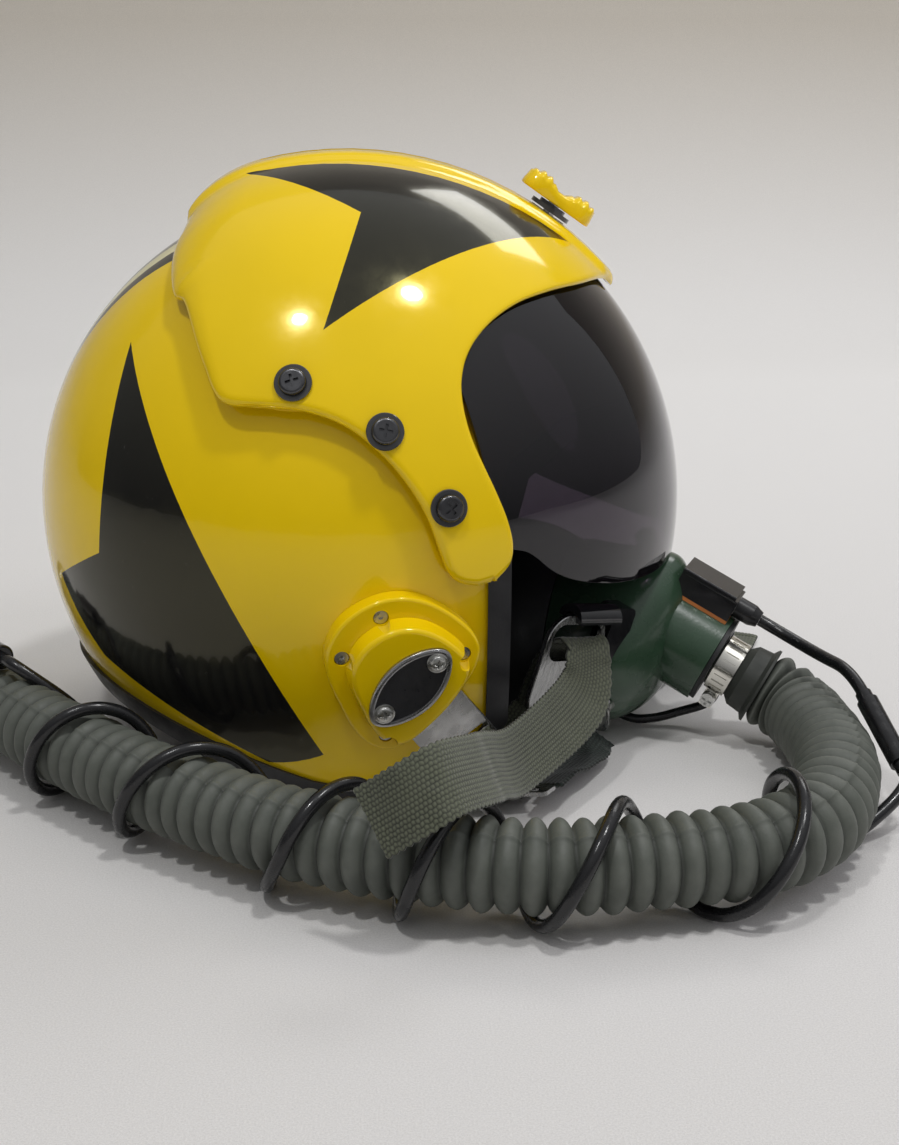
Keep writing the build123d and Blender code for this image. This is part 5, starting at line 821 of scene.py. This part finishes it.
def cover_mesh(name, edges, size, steps, low_gaps, high_gaps, middle, low_rolls, high_rolls, flange, ridge):
    """Sheet between two edge lines on an ellipsoid, rolled inward along its edges, with a raised middle band."""
    low_line = both_sides([pair[0] for pair in edges], steps)
    high_line = both_sides([pair[1] for pair in edges], steps)
    rolls_low, rolls_high = spread(low_rolls, steps), spread(high_rolls, steps)
    rim = [on_surface(u, size)[0] for u in low_line] + [on_surface(u, size)[0] for u in high_line]
    rim_rolls = rolls_low + rolls_high
    for low, high, roll in ((low_line[0], high_line[0], rolls_low[0]), (low_line[-1], high_line[-1], rolls_low[-1])):
        for share in (0.2, 0.4, 0.6, 0.8):
            rim.append(on_surface(low.slerp(high, share), size)[0])
            rim_rolls.append(roll)
    tree = kdtree.KDTree(len(rim))
    for index, place in enumerate(rim):
        tree.insert(place, index)
    tree.balance()
    scale = (size.x + size.y) / 2
    room = low_gaps[-1] + high_gaps[-1]
    rows = []
    for low, high in zip(low_line, high_line):
        width = low.angle(high) * scale
        fit = min(1.0, width / (room * 1.25))
        marks = [gap * fit for gap in low_gaps]
        inner = width - fit * room
        marks += [low_gaps[-1] * fit + inner * (step + 1) / middle for step in range(middle)]
        marks += [width - gap * fit for gap in reversed(high_gaps[:-1])]
        row = []
        for mark in marks:
            direction = low.slerp(high, min(1.0, mark / width))
            place, out = on_surface(direction, size)
            found, index, distance = tree.find(place)
            reach, depth = rim_rolls[index]
            share = max(0.0, (reach - distance) / reach)
            drop = depth * (CREASE * share + (1.0 - CREASE) * (1.0 - math.sqrt(max(0.0, 1.0 - share * share))))
            if ridge:
                level = min(1.0, max(0.0, (RIDGE_HALF - abs(place.y)) / RIDGE_SLOPE))
                drop -= ridge * level * level * (3.0 - 2.0 * level) * min(1.0, distance / RIDGE_END)
            row.append(place - out * drop)
        _, out = on_surface(low, size)
        row.insert(0, row[0] - out * flange)
        rows.append([HEAD + place for place in row])
    across = len(rows[0])
    places = [place for row in rows for place in row]
    faces = [(a * across + b, (a + 1) * across + b, (a + 1) * across + b + 1, a * across + b + 1)
             for a in range(len(rows) - 1) for b in range(across - 1)]
    return mesh_from(name, places, faces)


def keep_modifiers(made):
    """Make the evaluated mesh the object's own."""
    material = made.data.materials[0]
    final = evaluated_mesh(made)
    made.modifiers.clear()
    final.materials.clear()
    final.materials.append(material)
    for face in final.polygons:
        face.use_smooth = True
    made.data = final


def thicken(made, thickness, bevel):
    """Give a sheet its wall and, where asked, a fine rounded rim."""
    wall = made.modifiers.new("wall", "SOLIDIFY")
    wall.thickness = thickness
    wall.offset = -1.0
    if bevel:
        rim = made.modifiers.new("rim", "BEVEL")
        rim.width = bevel
        rim.segments = 2
        rim.limit_method = "ANGLE"
        rim.angle_limit = math.radians(50)
    keep_modifiers(made)
    made.data.set_sharp_from_angle(angle=math.radians(42))


# How far each row of the mesh lies from an edge
EDGE_GAPS = [0.0, 0.0002, 0.0005, 0.0009, 0.0014, 0.0020, 0.0028, 0.0038, 0.0052, 0.0070, 0.0092, 0.0118, 0.0148,
             0.0182, 0.0218, 0.0256, 0.0296, 0.0340]
FINE_GAPS = [0.0, 0.0002, 0.0005, 0.0009, 0.0014, 0.0020, 0.0030, 0.0050, 0.0080]
cover_sheet = cover_mesh("visor_cover", COVER_EDGES, COVER_SIZE, 408, EDGE_GAPS, FINE_GAPS, 16, COVER_ROLLS,
                         BROW_ROLLS, 0.0012, 0.0022)
cover = new_object("visor_cover", cover_sheet, PAINT_HOUSING)
thicken(cover, 0.0022, 0.0)
# The slot that the stud of the knob runs in
SLOT_START, SLOT_SWEEP, SLOT_HALF = 51.8, 51.8, 0.0035
SLOT_CORNERS = ((0.1365, SLOT_HALF), (0.1365, -SLOT_HALF), (0.1500, -SLOT_HALF), (0.1500, SLOT_HALF))
slot_rings = []
for step in range(27):
    angle = math.radians(SLOT_START + step * SLOT_SWEEP / 26.0)
    slot_rings.append([HEAD + Vector((radius * math.cos(angle), level, radius * math.sin(angle)))
                       for radius, level in SLOT_CORNERS])
cutter = bpy.data.objects.new("slot_cutter", ring_mesh("slot_cutter", slot_rings))
SCENE.collection.objects.link(cutter)
cut = cover.modifiers.new("slot", "BOOLEAN")
cut.operation = "DIFFERENCE"
cut.solver = "EXACT"
cut.object = cutter
keep_modifiers(cover)
cover.data.set_sharp_from_angle(angle=math.radians(42))
bpy.data.objects.remove(cutter)
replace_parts(cover, "visor_housing")

NO_ROLLS = [(0.001, 0.0)] * len(LENS_EDGES)
lens_sheet = cover_mesh("lens_bubble", [pair[::-1] for pair in LENS_EDGES], LENS_SIZE, 288, FINE_GAPS, FINE_GAPS, 34,
                        NO_ROLLS, NO_ROLLS, 0.0, 0.0)
bubble = new_object("lens_bubble", lens_sheet, LENS, body="visor")
thicken(bubble, 0.0024, 0.0004)
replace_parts(bubble, "visor_lens")


# ---- thumb knob
KNOB_TILT = math.radians(55.2)
KNOB_OUT = Vector((math.cos(KNOB_TILT), 0.0, math.sin(KNOB_TILT)))
KNOB_LONG = Vector((math.sin(KNOB_TILT), 0.0, -math.cos(KNOB_TILT)))
KNOB_ACROSS = Vector((0.0, 1.0, 0.0))
knob_levels = [(NODES["visor_knob"].matrix_world @ vertex.co - HEAD).dot(KNOB_OUT)
               for vertex in NODES["visor_knob"].data.vertices]
KNOB_BASE = HEAD + KNOB_OUT * min(knob_levels)
KNOB_HALF = 0.0166
KNOB_WAIST, KNOB_LOBE = 0.0066, 0.0024
KNOB_BORE, KNOB_BORE_DEPTH = 0.0027, 0.0045
KNOB_SIDE, KNOB_SADDLE, LOBE_RISE = 0.0032, 0.0022, 0.0030
RIB_HEIGHT, RIB_PITCH, RIB_START = 0.00055, 0.0036, 0.0035


def knob_half_width(u):
    """Bow-tie outline: narrow at the stud, wide at the two lobes, round at the ends."""
    share = abs(u) / KNOB_HALF
    end = math.sqrt(max(0.0, 1 - share ** 5))
    return (KNOB_WAIST + KNOB_LOBE * math.sin(math.pi * min(1.0, share) / 1.9) ** 2) * end


def knob_top(u, v):
    """Height of the low saddle over the stud and of the two ribbed lobes."""
    share = abs(u) / KNOB_HALF
    lobe = math.sin(math.pi * min(1.0, max(0.0, (share - 0.12) / 0.92))) ** 0.8
    rib = RIB_HEIGHT * math.cos(2 * math.pi * (abs(u) - RIB_START) / RIB_PITCH) if 0.26 < share < 0.92 else 0.0
    wide = max(knob_half_width(u), 0.001)
    dome = math.sqrt(max(0.0, 1 - min(1.0, abs(v) / (wide * 1.03)) ** 4))
    return KNOB_SIDE + (KNOB_SADDLE + LOBE_RISE * lobe + rib) * dome


def knob_ring(outline, share, level=None):
    """Ring at the share of an outline, at a level or on top of the knob."""
    ring = []
    for u, v in outline:
        u, v = u * share, v * share
        height = knob_top(u, v) if level is None else level
        ring.append(KNOB_BASE + KNOB_LONG * u + KNOB_ACROSS * v + KNOB_OUT * height)
    return ring


knob_angles = [2 * math.pi * step / 144 for step in range(144)]
knob_outline = []
for angle in knob_angles:
    u = KNOB_HALF * math.copysign(abs(math.cos(angle)) ** 0.85, math.cos(angle))
    knob_outline.append((u, math.copysign(knob_half_width(u), math.sin(angle))))
bore_ring = [(KNOB_BORE * math.cos(angle), KNOB_BORE * math.sin(angle)) for angle in knob_angles]
knob_rings = [knob_ring(bore_ring, 1.0, KNOB_BORE_DEPTH), knob_ring(bore_ring, 1.0, 0.0)]
knob_rings += [knob_ring(knob_outline, share, level)
               for share, level in ((0.96, 0.0), (0.99, 0.0002), (1.0, 0.0006), (1.0, 0.0024), (0.99, 0.0031))]
knob_rings += [knob_ring(knob_outline, 0.985 * (1 - step / 49)) for step in range(1, 49)]
knob = new_object("thumb_knob", ring_mesh("thumb_knob", knob_rings), PAINT_YELLOW, body="knob")
knob.data.set_sharp_from_angle(angle=math.radians(60))
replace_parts(knob, "visor_knob")


# ---- padded pieces
PAD_SHRINK = 0.0001


def pad(node, name, voxel, passes):
    """A stuffed leather piece: the CAD form remeshed finely, softened, and folded a little."""
    made = new_object(name, NODES[node].data.copy(), LEATHER)
    remesh = made.modifiers.new("remesh", "REMESH")
    remesh.mode = "VOXEL"
    remesh.voxel_size = voxel
    soften = made.modifiers.new("soften", "SMOOTH")
    soften.factor = 0.5
    soften.iterations = passes
    keep_modifiers(made)
    for vertex in made.data.vertices:
        fold = noise.noise(vertex.co * 85.0) * 0.00045 + noise.noise(vertex.co * 230.0) * 0.00018
        vertex.co += vertex.normal * (fold - PAD_SHRINK)
    made.data.update()
    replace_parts(made, node)


pad("fitting_pads", "leather_fitting_pads", 0.0018, 8)
pad("nape_pad", "leather_nape_pad", 0.0018, 10)
pad("ear_seals", "leather_ear_seals", 0.0016, 8)
pad("cheek_pads", "leather_cheek_pads", 0.0018, 12)

# ---- floor, backdrop and light
floor_shade = Shade("pale_floor")
specks = floor_shade.ranged(floor_shade.noise(1500.0, 3.0, 0.8), 0.35, 0.7, 0.0, 1.0)
_, floor_depth, floor_height = floor_shade.parts(floor_shade.place)
# Painted shade: the floor is coloured darker near the camera and lighter towards the back
near_floor_painted_shade = floor_shade.mix(specks, (0.62, 0.605, 0.590), (0.76, 0.745, 0.730))
far_floor = floor_shade.mix(specks, (0.86, 0.845, 0.830), (0.93, 0.925, 0.915))
# Painted shade: the backdrop is coloured darker and warmer than the floor where it rises
backdrop_painted_shade = floor_shade.mix(specks, (0.53, 0.490, 0.430), (0.66, 0.610, 0.530))
flat_floor = floor_shade.mix(floor_shade.ranged(floor_depth, -0.1, 0.8, 0.0, 1.0), near_floor_painted_shade, far_floor)
floor_shade.colour(floor_shade.mix(floor_shade.ranged(floor_height, 0.0, 0.32, 0.0, 1.0), flat_floor, backdrop_painted_shade))
floor_shade.rough(0.75)
floor_shade.normal(floor_shade.bump(floor_shade.noise(900.0, 4.0, 0.8), 0.0005, 0.5))
FLOOR_START, FLOOR_END, SWEEP, BACKDROP_TOP, FLOOR_HALF = -1.6, 0.95, 0.45, 2.2, 3.0
profile = [(FLOOR_START, 0.0), (FLOOR_END, 0.0)]
profile += [(FLOOR_END + SWEEP * math.sin(math.radians(a)), SWEEP - SWEEP * math.cos(math.radians(a)))
            for a in range(6, 91, 6)]
profile.append((FLOOR_END + SWEEP, BACKDROP_TOP))
floor_points = [(x, y, z) for y, z in profile for x in (-FLOOR_HALF, FLOOR_HALF)]
floor_faces = [(2 * i, 2 * i + 1, 2 * i + 3, 2 * i + 2) for i in range(len(profile) - 1)]
floor = bpy.data.objects.new("floor", mesh_from("floor", floor_points, floor_faces))
floor.data.materials.append(floor_shade.material)
SCENE.collection.objects.link(floor)

world = bpy.data.worlds.new("studio")
SCENE.world = world
world.use_nodes = True
sky = world.node_tree.nodes["Background"]
sky_nodes = Nodes(world.node_tree)
across, _, rise = sky_nodes.parts(sky_nodes.node("ShaderNodeTexCoord").outputs["Generated"])
sky_nodes.link(sky_nodes.math("MULTIPLY", sky_nodes.ranged(rise, -0.05, 0.85, 0.125, 0.62),
                              sky_nodes.ranged(across, -1.0, 0.6, 0.55, 1.12)), sky.inputs["Strength"])
sky.inputs["Color"].default_value = (0.97, 0.98, 1.0, 1.0)


def lamp(name, place, aim, size, power, shape="DISK", colour=(1.0, 1.0, 1.0)):
    data = bpy.data.lights.new(name, "AREA")
    data.shape = shape
    data.size, data.size_y = size
    data.energy = power
    data.color = colour
    made = bpy.data.objects.new(name, data)
    SCENE.collection.objects.link(made)
    made.location = place
    made.rotation_euler = (Vector(aim) - Vector(place)).to_track_quat("-Z", "Y").to_euler()
    return made


lamp("ceiling_right", (0.48, -0.47, 1.68), (0.0, -0.02, 0.08), (0.16, 0.16), 7.6)
lamp("ceiling_left", (-0.38, -0.76, 1.60), (0.0, -0.02, 0.08), (0.11, 0.11), 5.8)
front_soft = lamp("front_soft", (1.55, -0.40, 0.95), (0.02, 0.0, 0.08), (0.55, 1.10), 3.6, "ELLIPSE",
                  (0.94, 0.90, 1.0))
front_soft.visible_glossy = False
lamp("back_soft", (0.75, 0.95, 1.35), (0.05, 0.0, 0.10), (0.8, 0.4), 4.6, "RECTANGLE")
